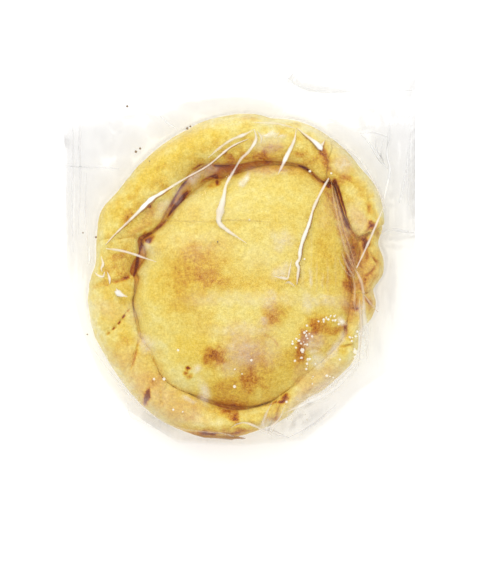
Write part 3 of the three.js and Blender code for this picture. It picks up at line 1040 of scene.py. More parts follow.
    def patch_marks(self, place: Array) -> tuple[Array, Array]:
        """How baked, with some painted shade and light, and how flushed the crust is at places in plan.

        The places are first shaken by noise, so that the patches' edges wander. A narrow patch is
        shaken less.

        Args:
            place: Places in plan, x and y along the last axis.

        Returns:
            The bake with its painted shade and light, and the flush.
        """
        (wide, strong), (fine, weak) = self.warps
        shake = [strong * noise(place, wide, seed) + weak * noise(place, fine, seed + 4) for seed in (1, 2)]
        bake, flush = np.zeros(place.shape[:-1]), np.zeros(place.shape[:-1])
        for patch in self.patches:
            calm = min(1.0, min(patch.rx, patch.ry) / self.calm_below)
            share = patch.share(place[..., 0] + calm * shake[0], place[..., 1] + calm * shake[1])
            bake += patch.bake * share
            flush += patch.flush * share
        return bake, np.clip(flush, -1.0, 1.0)

    def build(self) -> tuple[bpy.types.Object, Array]:
        """Makes the crust.

        The skin moves out along its normals by three layers of noise and the folds' relief. Painted light
        brightens the upper rim's outer edge, where the steep flank faces away from the light, and it is
        darker at its foot.

        Returns:
            The object, and its points by ring and column, for the film to lie on.
        """
        points, takes, seam_shade = self.skin()
        normal = self.normals(points)
        plan = points[..., :2]
        dents, char = self.fold_marks(plan)
        upward = ease(normal[..., 2], *self.upward)
        rough = sum(layer.at(points) for layer in self.relief)
        points = points + normal * (takes * (rough + upward * dents))[..., None]
        points[..., 2] = np.maximum(points[..., 2], self.form.underside_height)

        bake, flush = self.patch_marks(plan)
        inside = np.maximum(-self.form.outside(plan), 0.0)
        # painted light along the upper rim's outer edge, where the steep flank faces away from the light
        painted_edge_light = self.edge_light * bell(inside, self.edge_light_reach) * ease(plan[..., 1], *self.edge_light_over)
        bake = bake * mix(self.side_patch_share, 1.0, upward) - painted_edge_light
        # darker towards the foot
        bake = bake + self.foot_darkening * ease(-points[..., 2], *self.foot_depth)
        # the seam's painted shade, mottled
        seam_shade = seam_shade * self.seam_shade_mottle.at(plan)
        rim = 1.0 * (np.arange(len(points)) < len(points) - self.lid_rings)[:, None]
        skin = Skin()
        skin.add_one(points, bake=bake, flush=flush, seam=seam_shade, char=char * upward, rim=rim)
        return skin.piece("pastelito_crust", Slot.CRUST, Node.PIE), points


@dataclass(frozen=True)
class BakedDough:
    """The crust's finish: yellow corn-tinted dough, browned in patches, with painted shade in its creases."""

    resting: float = 0.27
    broad: float = 0.30
    mottle: float = 0.34
    speckle: float = 0.42
    sand: float = 0.52
    seam_shade_dark: float = 0.30
    char_and_shade_dark: float = 0.72
    seam_glow: float = 0.7
    char_and_shade_cool: float = 0.5
    plain_speckle: float = 0.35
    baked_speckle: float = 1.1
    rim_mottle: float = 1.15
    grains: Stops = ((0.48, 2.0), (1.1, 1.0), (9.0, 2.0), (3.0, 2.0))
    pores: Stops = ((0.7, 3.0, 0.7), (2.2, 1.0, 0.5))
    pore_depth: float = 0.34
    seam_even: float = 0.9
    flush_shares: Row = (0.75, 1.2, 0.8)
    pink_until: float = 1.1
    sandy_share: float = 0.6
    roughness: float = 0.5
    roughness_change: float = 0.2
    sheen: float = 0.18
    painted_glow: Colour = (0.56, 0.16, 0.008)
    browning: tuple[tuple[float, Colour], ...] = (
        (0.00, seen(254, 241, 166)),
        (0.18, seen(250, 229, 132)),
        (0.34, seen(244, 214, 104)),
        (0.48, seen(236, 196, 80)),
        (0.62, seen(222, 167, 66)),
        (0.76, seen(204, 132, 46)),
        (0.88, seen(176, 98, 34)),
        (1.00, seen(138, 68, 18)),
    )
    pinkish: Colour = seen(236, 192, 126)
    yolky: Colour = seen(246, 212, 76)

    def material(self) -> bpy.types.Material:
        """Makes the material.

        The ramp's place is the resting tone plus the patches' bake with their painted shade and light, broad
        and fine noise, the painted shade of seams, and the char and painted shade of folds. The fine noise
        grows with the bake, as browned dough is speckled, and the broad noise is stronger on the rim.

        Returns:
            The material.
        """
        graph = Graph("baked_dough")
        bake, flush, seam, char, rim = map(graph.attribute, ("bake", "flush", "seam", "char", "rim"))
        fine, sandy, broad, mottle = (graph.grain(*grain) - 0.5 for grain in self.grains)
        speckle = (fine + sandy) * self.speckle * (self.plain_speckle + bake * self.baked_speckle)
        lively = 1.0 + rim * self.rim_mottle
        tone = self.resting + bake + (broad * self.broad + mottle * self.mottle) * lively + speckle
        # painted shade in the seam's hollow darkens the tone
        tone = tone + seam * self.seam_shade_dark * (self.seam_even + broad)
        # the folds' char and painted shade darken the tone too
        tone = graph.held(tone + char * self.char_and_shade_dark)
        colour = graph.add("ShaderNodeValToRGB", {"stops": self.browning}, {"Fac": tone})
        even, mottled, sanded = self.flush_shares
        uneven = flush * (even + mottle * mottled + sandy * sanded)
        colour = graph.colour_mix(graph.held(uneven * (self.pink_until - tone)), colour, self.pinkish)
        colour = graph.colour_mix(graph.held(uneven * (tone - 1.0)), colour, self.yolky)
        # a painted glow of light through the dough warms the seam's hollow, less in dark folds
        crevice_glow = graph.held(seam * self.seam_glow - char * self.char_and_shade_cool)
        colour = graph.colour_mix(crevice_glow, colour, self.painted_glow)
        colour = graph.scaled(colour, 1.0 - (fine + sandy * self.sandy_share) * self.sand)
        pores, dents = (graph.grain(pitch, detail) * share for pitch, detail, share in self.pores)
        shader = graph.add("ShaderNodeBsdfPrincipled", None, {
            "Base Color": colour,
            "Roughness": self.roughness + fine * self.roughness_change,
            "Specular IOR Level": self.sheen,
            "Normal": graph.bump(pores + dents, self.pore_depth),
        })
        return graph.finish(shader)


# The bag


@dataclass(frozen=True)
class Veil(Field):
    """A field of the film: how milky it is, as painted sheen, and in the shades how grey, as painted shade.
    """

    strength: float


@dataclass(frozen=True)
class Crease:
    """A bright crease of the film: stops in plan with the crease's width at each.

    The glow is how bright its painted highlight is, and the tan how much of the crust's colour shows
    in it. In the shaded folds the glow is how dark their painted shade is.
    """

    path: Stops
    glow: float = 1.0
    tan: float = 0.0


@dataclass
class FilmForm:
    """The film's two sheets: the front lies over the food and on the table round it.

    A side's pleats set in between the first two distances out and the last two heights up.
    """

    corners: Stops = (
        (61, 12), (61, 73), (22, 72), (14, 64), (-13, 61), (-37, 58), (-59, 56), (-58, 0), (-53, -19),
        (-47, -33), (-37, -46), (-20, -57), (2, -58), (23, -56), (33, -48), (42, -39), (55, -31), (60, -8),
    )
    step: float = 0.8
    west: float = -66.0
    south: float = -64.0
    cells: tuple[int, int] = (170, 182)
    clearance: float = 0.35
    settling: int = 150
    rest_height: float = 1.5
    half_gap: float = 0.35
    pleat: float = 0.45
    pleat_pitch: Span = (2.6, 34.0)
    left_pleats: Row = (46.0, 51.0, 0.0, 10.0)
    right_pleats: Row = (44.0, 52.0, 8.0, 16.0)
    ripple: float = 0.35
    ripple_pitch: float = 17.0
    heights: Array = field(default_factory=lambda: np.zeros((0, 0)))

    def radius(self, degrees: Array) -> Array:
        """The distance from the origin to the bag's outline: where the angle's ray crosses its sides.

        Args:
            degrees: The angles.

        Returns:
            One distance for each angle.
        """
        ray = np.stack([np.cos(np.radians(degrees)), np.sin(np.radians(degrees))], axis=-1)
        start = np.array(self.corners, dtype=float)
        step = np.roll(start, -1, axis=0) - start
        across = ray[:, None, 0] * step[:, 1] - ray[:, None, 1] * step[:, 0]
        along = (start[:, 0] * ray[:, None, 1] - start[:, 1] * ray[:, None, 0]) / across
        reach = (start[:, 0] * step[:, 1] - start[:, 1] * step[:, 0]) / across
        hit = (reach > 0) & (along > -1e-6) & (along < 1 + 1e-6)
        return np.where(hit, reach, 0.0).max(axis=1)

    def pleated(self, place: Array) -> Array:
        """Where the margin is pleated: up its left side, and up its right side."""
        x, y = place[..., 0], place[..., 1]
        return sum(ease(out, *reach[:2]) * ease(y, *reach[2:])
                   for out, reach in ((-x, self.left_pleats), (x, self.right_pleats)))

    def resting(self, place: Array) -> Array:
        """The height of the film's middle where it lies free: pleats beside slow ripples."""
        pleats = noise(place, self.pleat_pitch, seed=31) * self.pleated(place)
        return self.rest_height + self.pleat * pleats + self.ripple * noise(place, self.ripple_pitch, seed=32)

    def settle(self, food: Array) -> None:
        """Lays the front sheet over the food.

        The sheet is a height on each cell of a square raster. It starts on the food's highest point in
        and round the cell, and each turn takes the mean of its four neighbours where that is higher,
        as a stretched membrane does, so that it bridges the hollows.

        Args:
            food: The food's points.
        """
        place = np.stack(np.meshgrid(self.west + self.step * np.arange(self.cells[0]),
                                     self.south + self.step * np.arange(self.cells[1])), axis=-1)
        ground = self.resting(place) + self.half_gap
        top = np.full(ground.shape, -1.0)
        column = np.rint((food[..., 0].ravel() - self.west) / self.step).astype(int)
        row = np.rint((food[..., 1].ravel() - self.south) / self.step).astype(int)
        np.maximum.at(top, (row, column), food[..., 2].ravel())
        wide = np.max([np.roll(top, shift, axis=(0, 1)) for shift in np.ndindex(3, 3)], axis=0)
        wide = np.roll(wide, (-1, -1), axis=(0, 1))
        bed = np.maximum(ground, np.where(wide > 0, wide + self.clearance, 0.0))
        sheet = bed.copy()
        for _ in range(self.settling):
            mean = sum(np.roll(sheet, shift, axis) for shift in (-1, 1) for axis in (0, 1)) / 4
            sheet = np.maximum(bed, mean)
        self.heights = sheet

    def front(self, place: Array) -> Array:
        """The front sheet's height at places in plan, straight between the raster's cells.

        Args:
            place: The places, x and y along the last axis.

        Returns:
            One height for each place.
        """
        across = np.clip((place[..., 0] - self.west) / self.step, 0, self.cells[0] - 1.001)
        up = np.clip((place[..., 1] - self.south) / self.step, 0, self.cells[1] - 1.001)
        column, row = across.astype(int), up.astype(int)
        x, y = across - column, up - row
        low = mix(self.heights[row, column], self.heights[row, column + 1], x)
        high = mix(self.heights[row + 1, column], self.heights[row + 1, column + 1], x)
        return mix(low, high, y)


# the film's creases: ridges in the film, each whitened along its crown with a painted highlight
CREASES: tuple[Crease, ...] = rows(
    Crease,
    # the long taut line from the top down to the left, and its fainter twin
    (((4.2, 46.3, 0.1), (-2, 43.4, 0.7), (-9.6, 37.2, 0.5), (-17.2, 32.9, 0.6), (-25.1, 28.1, 0.9),
     (-29, 25.6, 1.3), (-34.5, 20.2, 0.8), (-40.9, 14.1, 0.5), (-44.2, 10.4, 0.2)),),
    (((5.9, 49.4, 0.2), (3, 47.8, 0.9), (-1.6, 45.9, 0.8), (-5.6, 43.2, 0.7), (-9.6, 39.8, 0.2)), 0.7),
    (((-44, 9.2, 0.3), (-39.4, 8.6, 0.8), (-34.8, 7.4, 0.7), (-30.9, 6, 0.6), (-26.8, 4.7, 0.1)), 0.9),
    # the line that bends across the lid
    (((6, 49.6, 0.2), (6.6, 46, 0.9), (4.2, 42, 0.8), (1.5, 39.3, 0.7), (-1.2, 34.8, 0.8),
     (-3.4, 30.8, 0.9), (-4.3, 26.3, 1.3), (-5.4, 21.7, 2.2), (-5.8, 18, 1.7), (-3.2, 15.4, 1.2),
     (0, 13.2, 0.8), (3.6, 10.8, 0.1)), 0.85, 0.2),
    (((6.9, 49, 0.1), (8.4, 46.8, 0.8), (8.2, 44.6, 0.2)), 0.6),
    (((5.7, 51.8, 0.2), (10, 51.7, 0.9), (14.5, 51.3, 0.8), (20, 49.8, 0.3)), 0.5),
    (((20.2, 49.4, 0.3), (19.4, 45.4, 0.8), (17, 40.5, 1.3), (15.5, 37.2, 0.9), (13.9, 34, 0.1)), 0.9),
    (((20.4, 50, 0.2), (23.4, 47.5, 0.7), (26.4, 45.2, 1.2), (28.2, 43.4, 1.6), (28.9, 42.2, 0.2)),),
    (((28.2, 43.2, 0.6), (29, 44.4, 0.9), (29.9, 45.8, 0.1)),),
    # the long line down the lid's right, with its kink and the bright corner at its foot
    (((31.2, 33, 0.4), (29.1, 29.3, 0.7), (26.1, 23.2, 0.8), (24.3, 17.2, 0.9), (22.4, 12.2, 1.2),
     (21.4, 8.4, 1.1), (21.2, 5.8, 0.8), (20.3, 4.2, 1.2), (20.9, 2.6, 0.9), (20.6, 0.2, 0.8),
     (20.3, -2.9, 0.2)),),
    (((18.6, 5.6, 0.1), (17.8, 1.6, 0.5), (17.2, -0.8, 0.8), (15.4, -0.7, 1), (12.6, -0.2, 0.2)), 0.8),
    (((16.4, -2.6, 0.2), (17.8, -2.2, 0.8), (19.9, -3.8, 0.2)), 0.5),
    # the bundle of lines over the open seam at the right
    (((49.9, 23.6, 0.2), (47.6, 18.4, 0.7), (44.4, 10.9, 0.7), (40.5, 2.6, 0.5)), 0.9, 0.35),
    (((32, 32.6, 0.1), (32.6, 27, 0.4), (34, 20, 0.6), (35.6, 13, 0.5), (38.2, 6, 0.5), (40.1, 2, 0.2)),
     0.6, 1),
    (((32.9, 30, 0.1), (34.6, 22.6, 0.6), (36.8, 14, 0.6), (38.6, 8.6, 0.4), (40.4, 2.2, 0.2)), 0.55, 1),
    (((34.6, 16, 0.1), (36.2, 10.4, 0.6), (38, 5.4, 0.4), (39.8, 1.6, 0.1)), 0.55, 1),
    (((35.2, 9, 0.1), (36.4, 5.4, 0.6), (38, 2.2, 0.7), (40.2, -1, 0.3)), 0.6, 0.9),
    (((34, 6.6, 0.1), (35.6, 3.4, 0.5), (37.6, 0.6, 0.4), (39.6, -0.6, 0.1)), 0.5, 0.9),
    (((39.2, 0.4, 0.1), (39.9, -4, 0.7), (39.8, -9, 0.9), (40.2, -13, 0.2)), 0.5, 0.9),
    (((40, 2.2, 0.3), (41.2, 0.2, 0.9), (42.3, -2.6, 0.9), (42.9, -6.1, 0.8)), 0.75, 0.8),
    (((42.8, -5.6, 0.5), (43, -10, 0.9), (43.1, -14, 1.4), (43.8, -19.5, 1.6), (44.3, -25, 0.6),
     (44.4, -29.5, 0.1)), 0.4, 0.1),
    (((42.9, -6, 0.2), (44.6, -8.4, 0.6), (46.2, -10.4, 0.6), (47.9, -12.2, 0.2)), 0.75, 0.8),
    (((41.4, -6.6, 0.1), (41.8, -12, 0.6), (42.2, -17, 0.9), (41.9, -24, 0.5), (41.2, -31, 0.1)), 0.55, 0.5),
    (((-24, 18.6, 0.3), (-12, 18.2, 0.6), (0, 18.7, 0.6), (11.5, 18, 0.3)), 0.22, 1.6),
    # squiggles and the bright triangle at the left
    (((-45.7, 6.7, 0.1), (-45, 4, 0.7), (-45.6, 2.6, 0.7), (-45.3, 1.4, 0.3)), 0.95),
    (((-47.8, 1.2, 0.2), (-46.6, 0.1, 0.8), (-45, -0.2, 0.8), (-44.4, 1.4, 0.3)), 0.95),
    (((-43.6, 1.4, 0.2), (-42.8, -0.9, 0.8), (-42.8, -2.9, 0.2)), 0.95),
    (((-41.2, -5.2, 0.3), (-40, -5.7, 2), (-38.8, -6.4, 1.5), (-36.6, -7.1, 0.1)), 0.95),
    (((-40.6, -4.2, 0.2), (-39.9, -5.6, 1.4), (-40, -7, 0.3)), 0.9),
    # bright edges where the film leaves the food: painted highlights
    (((34.6, 43.6, 0.2), (39.8, 41.2, 0.6), (44.6, 35.2, 0.5), (48.8, 27, 0.5), (50.2, 23, 0.2)), 0.7),
    (((-48.6, -24.6, 0.2), (-42.6, -33, 0.6), (-36.4, -40.2, 0.7), (-32, -44.4, 0.6), (-25.7, -48.6, 0.5),
     (-19, -51.6, 0.4), (-11, -52.6, 0.5), (-3.9, -53.4, 0.6), (2.6, -55.6, 0.2)), 0.3),
    # the brown line along the pie's foot is a painted shadow where the film meets the bottom edge
    (((-15, -53.4, 0.2), (-11, -54.2, 0.8), (-6, -54.5, 1.2), (-1, -54.6, 1.3), (3, -55, 0.3)), 0.98, 2),
    (((-1.8, -51.2, 0.2), (0.6, -49.9, 0.4), (3.6, -49.7, 0.6), (8.5, -51.8, 0.9), (12, -54, 0.2)),
     0.6, 0.3),
    (((16.6, -43.2, 0.1), (14.6, -48, 0.6), (11.5, -51.8, 1), (14.4, -53.6, 0.9), (17.8, -55, 0.2)),
     0.65, 0.2),
    (((12, -42.6, 0.1), (9.9, -47, 0.9), (9, -50.6, 1.2), (11, -52.6, 0.2)), 0.4, 0.3),
    (((17.6, -55, 0.1), (24.9, -51.2, 0.5), (30, -47.3, 0.5), (34, -43.8, 0.1)), 0.5),
    (((16, -46.4, 0.2), (24, -42.6, 1.4), (32, -38.6, 1.8), (38, -33, 1.2), (42, -28, 0.2)), 0.6),
    # folds of the free margin
    (((42.4, 48, 0.1), (45, 45.4, 0.5), (48.6, 39.6, 0.6), (51.4, 36.4, 0.2)), 0.9),
    (((51.8, 47, 0.2), (51.3, 41.5, 0.6), (52.2, 36, 0.7), (50.9, 30.1, 0.6), (49.8, 25.4, 0.2)), 0.9),
    (((42, 48.6, 0.1), (46.6, 48.9, 0.5), (51.6, 47.4, 0.2)), 0.6),
    (((15.8, 71.4, 0.1), (17.8, 67.6, 0.5), (21.6, 64.6, 0.6), (28.4, 63, 0.6), (38.6, 62.9, 0.5),
     (52, 63.2, 0.5), (59.8, 63.4, 0.2)), 0.5),
    (((59.4, 49, 0.2), (58.6, 42, 0.7), (58.2, 34, 0.6), (58.6, 24, 0.2)), 0.7),
    (((57.7, 36, 0.2), (56.6, 30, 0.7), (55.4, 25, 0.3)), 0.8),
    (((50, 46.4, 0.1), (49.2, 41, 0.5), (50.6, 37.4, 0.2)), 0.5),
    (((47.4, 47.6, 0.1), (47.8, 43, 0.5), (50.2, 39.2, 0.2)), 0.5),
    (((52.3, 52.6, 0.2), (51.9, 47.6, 0.8), (51.2, 43.4, 0.3)), 0.7),
    (((-49.8, 9.6, 0.2), (-49.6, 6, 0.8), (-50, 3.6, 0.2)), 0.8),
    (((48.6, 14.9, 0.3), (54, 15.6, 1), (60.4, 14.6, 0.4)), 0.4),
    (((-58.4, 37.6, 0.2), (-52, 37.2, 0.6), (-44, 36.9, 0.5), (-40, 36.4, 0.2)), 0.4),
    (((-55.9, 54.6, 0.2), (-55.8, 40, 0.6), (-56.1, 24, 0.5), (-55.6, 8, 0.1)), 0.6),
    (((-53.4, 53, 0.1), (-53.6, 44, 0.5), (-53.3, 30, 0.5), (-53.8, 14, 0.1)), 0.5),
    (((-51.2, 35, 0.1), (-51.4, 22, 0.5), (-50.8, 12, 0.5), (-50.5, 4, 0.1)), 0.5),
    (((-27, 55.6, 0.1), (-23.4, 52, 0.5), (-20.4, 49.8, 0.1)), 0.6),
    (((-36.9, -43, 0.1), (-36.2, -47.4, 0.5), (-33.8, -49, 0.5), (-26, -52.6, 0.1)), 0.25),
)

# the film's milky fields: mostly painted highlights where the film catches the light
VEILS: tuple[Veil, ...] = rows(
    Veil,
    (15.2, 11.6, 3.9, 3.4, 0, 0.3), (15, 1.4, 3.2, 2, 25, 0.4), (10.9, -7.9, 3, 2.8, 35, 0.28),
    (8.6, -15.3, 1.9, 1.2, 0, 0.25), (23.6, -8.6, 1.8, 3.6, 0, 0.32), (24.6, -0.9, 0.6, 3.2, 0, 0.35),
    (28.6, -1.6, 0.5, 2.2, 0, 0.18), (29, -8.4, 8, 2, -8, 0.22), (5, -7.6, 22, 2.4, 0, 0.13),
    (2, -18.4, 11, 2.6, 0, 0.22), (11.4, -25, 4.4, 6, 10, 0.13), (-2.6, -31, 4, 2.4, 0, 0.16),
    (-12, 11, 13, 5, 0, 0.09), (8, 6, 6, 4, 0, 0.08), (2.4, -24.6, 6.4, 5.6, 10, 0.25),
    (28.4, -28.6, 3, 2.4, 20, 0.42), (26.4, -25.6, 1.6, 1.2, 0, 0.5), (25.6, -21.8, 3, 2.6, 0, 0.25),
    (33.6, -23.6, 1.4, 5.4, -35, 0.42), (31, -27.6, 3.2, 1.2, 35, 0.34), (35.8, -15.6, 1, 1.5, 20, 0.75),
    (-13.4, -31.2, 1.7, 1.4, -30, 0.34), (-10.8, -39.6, 1.6, 4.6, 12, 0.34),
    (-15.8, -42, 2.6, 1, -20, 0.36), (-30.2, -22.8, 3.6, 2.4, -50, 0.34), (12.4, 47.5, 4.2, 0.9, -3, 0.75),
    (2.6, 32.4, 1.1, 2.8, -45, 0.62), (10.8, 44.6, 5.6, 2.6, 0, 0.22), (-14.6, 33, 3.2, 1.5, 38, 0.34),
    (-19.6, 27.2, 5, 1.7, 55, 0.17), (-30.6, 9.6, 2.4, 1.2, 50, 0.22), (-24.6, 23, 4.6, 1.8, 45, 0.22),
    (-28.1, 8.6, 4, 3, 0, 0.1), (41, 19, 3, 6, 15, 0.12), (36, 37.4, 3, 3, 0, 0.26),
    (35.6, 17, 2, 10, 15, 0.14), (39.4, 3, 2, 5, 14, 0.08), (43, -18, 1.6, 8, 4, 0.5),
    (30, 21, 3, 6, 0, 0.08), (-34.6, -13, 2.6, 3.4, 0, 0.12), (22, -47.4, 6, 3, 30, 0.2),
    (27, -40.4, 12, 3, 36, 0.24), (30, -34, 9, 4, 36, 0.06), (10.2, -50.6, 2.2, 1.8, 0, 0.45),
    (-8, 22, 14, 3.6, 0, 0.06), (11, 35.2, 7, 1.3, -3, 0.16), (-9.6, 35.8, 3.4, 1.3, 28, 0.16),
)


# grey fields of the free margin: painted shade in the film's pleats and folds, and near the pie its painted
# shadow
SHADES: tuple[Veil, ...] = rows(
    Veil,
    # the left margin: upright stripes, the clear band over them, and the blocks above it
    (-57, 29, 0.8, 9, 0, 0.45), (-56.9, 17, 0.8, 8, 3, 0.6), (-54.3, 29, 0.6, 8.5, 0, 0.6),
    (-54.4, 18.5, 0.6, 6, 0, 0.7), (-54.6, 13.6, 1, 1.2, 0, 0.6), (-51, 26, 1.4, 10, 0, 0.55),
    (-48.8, 29, 2, 6.4, 0, 0.6), (-45, 31.6, 4.4, 3.2, 25, 0.8), (-39.4, 36.8, 3.6, 2.4, 45, 0.75),
    (-51.6, 4, 0.5, 4, -8, 0.55), (-53.6, 9, 0.5, 3.6, 15, 0.4), (-50, 3, 1.2, 2.6, 0, 0.35),
    (-57, 46.2, 1.7, 2, 0, 0.6), (-52.9, 47.6, 0.45, 3.8, 0, 0.85), (-51.7, 47.8, 0.35, 3.4, 0, 0.6),
    (-50.4, 49, 0.35, 3.6, 4, 0.45), (-53.6, 44, 1.4, 1.6, 0, 0.45), (-53.8, 40.3, 1.6, 0.5, 0, 0.15),
    (-49.4, 41.8, 2.6, 2, 0, 0.72), (-46, 47.8, 2.8, 3.8, 0, 0.75), (-43.4, 44, 3, 2.4, 30, 0.8),
    (-41.7, 46.4, 0.6, 2.4, 20, 0.6), (-43.6, 52.2, 1.7, 0.9, -30, 0.6), (-40.6, 51.4, 1.6, 1.9, 0, 0.5),
    (-39.6, 49.4, 0.9, 0.9, 0, 0.9), (-36.6, 45.6, 5, 4, 30, 0.8), (-36.8, 54.3, 2.2, 0.8, 10, 0.35),
    (-27, 53.6, 3.6, 0.8, -20, 0.5), (-23, 51.8, 6.4, 2.8, 22, 0.8),
    # over the top: painted shadow beside the pie's top edge
    (-14, 57.2, 4.6, 1.6, 4, 0.6), (-4, 57.6, 9, 2.2, 3, 0.75), (7, 57, 6, 2, -6, 0.72),
    (24.6, 64.8, 3.2, 0.8, -14, 0.6), (59.6, 64.4, 0.9, 2.6, -14, 0.45), (58.6, 62.2, 1.4, 1.2, 0, 0.35),
    (42.6, 53.4, 1, 1.8, 0, 0.45), (46.4, 56.6, 1.5, 0.6, -20, 0.55), (49.4, 53.6, 0.6, 1.9, 20, 0.6),
    (53.4, 55.8, 1, 1.7, 0, 0.6), (57.6, 54.4, 3, 0.5, 0, 0.4), (56, 51.4, 3.6, 0.6, 0, 0.55),
    (44.4, 50.4, 2.6, 0.7, 8, 0.65),
    # the right margin
    (37.6, 47.6, 5.4, 2.2, -22, 0.75), (47.6, 45, 1.2, 5, -20, 0.85), (49.6, 41.6, 0.9, 6, -6, 0.75),
    (45.6, 39, 2, 3.6, 35, 0.7), (48.6, 33.6, 1.9, 3.4, 20, 0.75), (42, 43.2, 3, 2.2, -50, 0.85),
    (56.2, 48.4, 3, 2.4, 0, 0.62), (53.8, 42.6, 1.1, 3.8, 0, 0.65), (53.6, 33.4, 0.9, 5, 0, 0.5),
    (56.6, 41, 0.8, 6, 0, 0.5), (56.6, 32, 0.8, 6, 6, 0.42), (59, 33, 0.5, 10, 3, 0.4),
    (60.5, 34, 0.5, 17, 0, 0.45), (52.9, 27.6, 1.9, 1.2, 10, 0.95), (51.8, 24, 1.6, 0.8, 0, 0.45),
    (50.9, 20, 0.8, 5, 0, 0.3), (53.4, 10, 4.2, 1.3, 0, 0.1), (52.6, -4, 2.2, 13, 0, 0.1),
    (48.6, -25, 2.6, 9.4, 4, 0.05), (50.6, -6, 2.6, 12, 0, 0.05),
    # under the bottom: painted shadow beside the pie's lower edge, with the film's folds
    (-35.6, -45, 2.6, 3.4, -35, 0.04), (-26, -50.4, 9, 2.8, -26, 0.09), (-12, -55.2, 15, 1.4, -4, 0.05),
    (19.2, -50.4, 0.8, 2.8, -20, 0.1), (21.4, -47.6, 1.8, 1, 20, 0.06), (16, -51, 1.6, 3, 0, 0.05),
    (26.6, -47.8, 6, 1.8, 36, 0.08), (24.4, -43.6, 2.8, 0.8, 28, 0.06), (13.4, -55.2, 3.4, 0.7, 0, 0.05),
    (39.8, -33, 0.6, 2.2, -28, 0.05),
)

# dark lines along the free margin's folds: painted shade
SHADED_FOLDS: tuple[Crease, ...] = rows(
    Crease,
    (((15.3, 71.8, 0.5), (16.2, 70.8, 0.6), (18.4, 68.2, 0.6), (21.2, 65.8, 0.8), (25, 64.4, 0.9),
     (31, 63.7, 0.6), (38, 63.4, 0.4)), 0.6),
    (((-35.6, -50.2, 0.4), (-33.2, -51, 0.5), (-29.6, -51.7, 0.6), (-25.6, -53.1, 0.5),
     (-20.6, -54.7, 0.4)), 0.05),
    (((21.8, -53.8, 0.4), (25.4, -51.2, 0.8), (28.6, -48.6, 0.7), (30.2, -47.2, 0.4)), 0.08),
    (((11.4, -52.2, 0.8), (13.2, -53.3, 0.8), (15.2, -54.2, 0.4)), 0.1),
    (((31.6, 53.2, 0.3), (34.2, 52, 0.4), (37, 49.4, 0.3)), 0.5),
    (((31.4, 51.2, 0.4), (34, 50.9, 0.5), (36.6, 49, 0.3)), 0.5),
    (((52, 12.6, 0.4), (56, 12.8, 0.6), (60.4, 13.4, 0.4)), 0.35),
    (((-58.6, 37.2, 0.3), (-56, 37, 0.4), (-53.6, 37, 0.3)), 0.12),
)


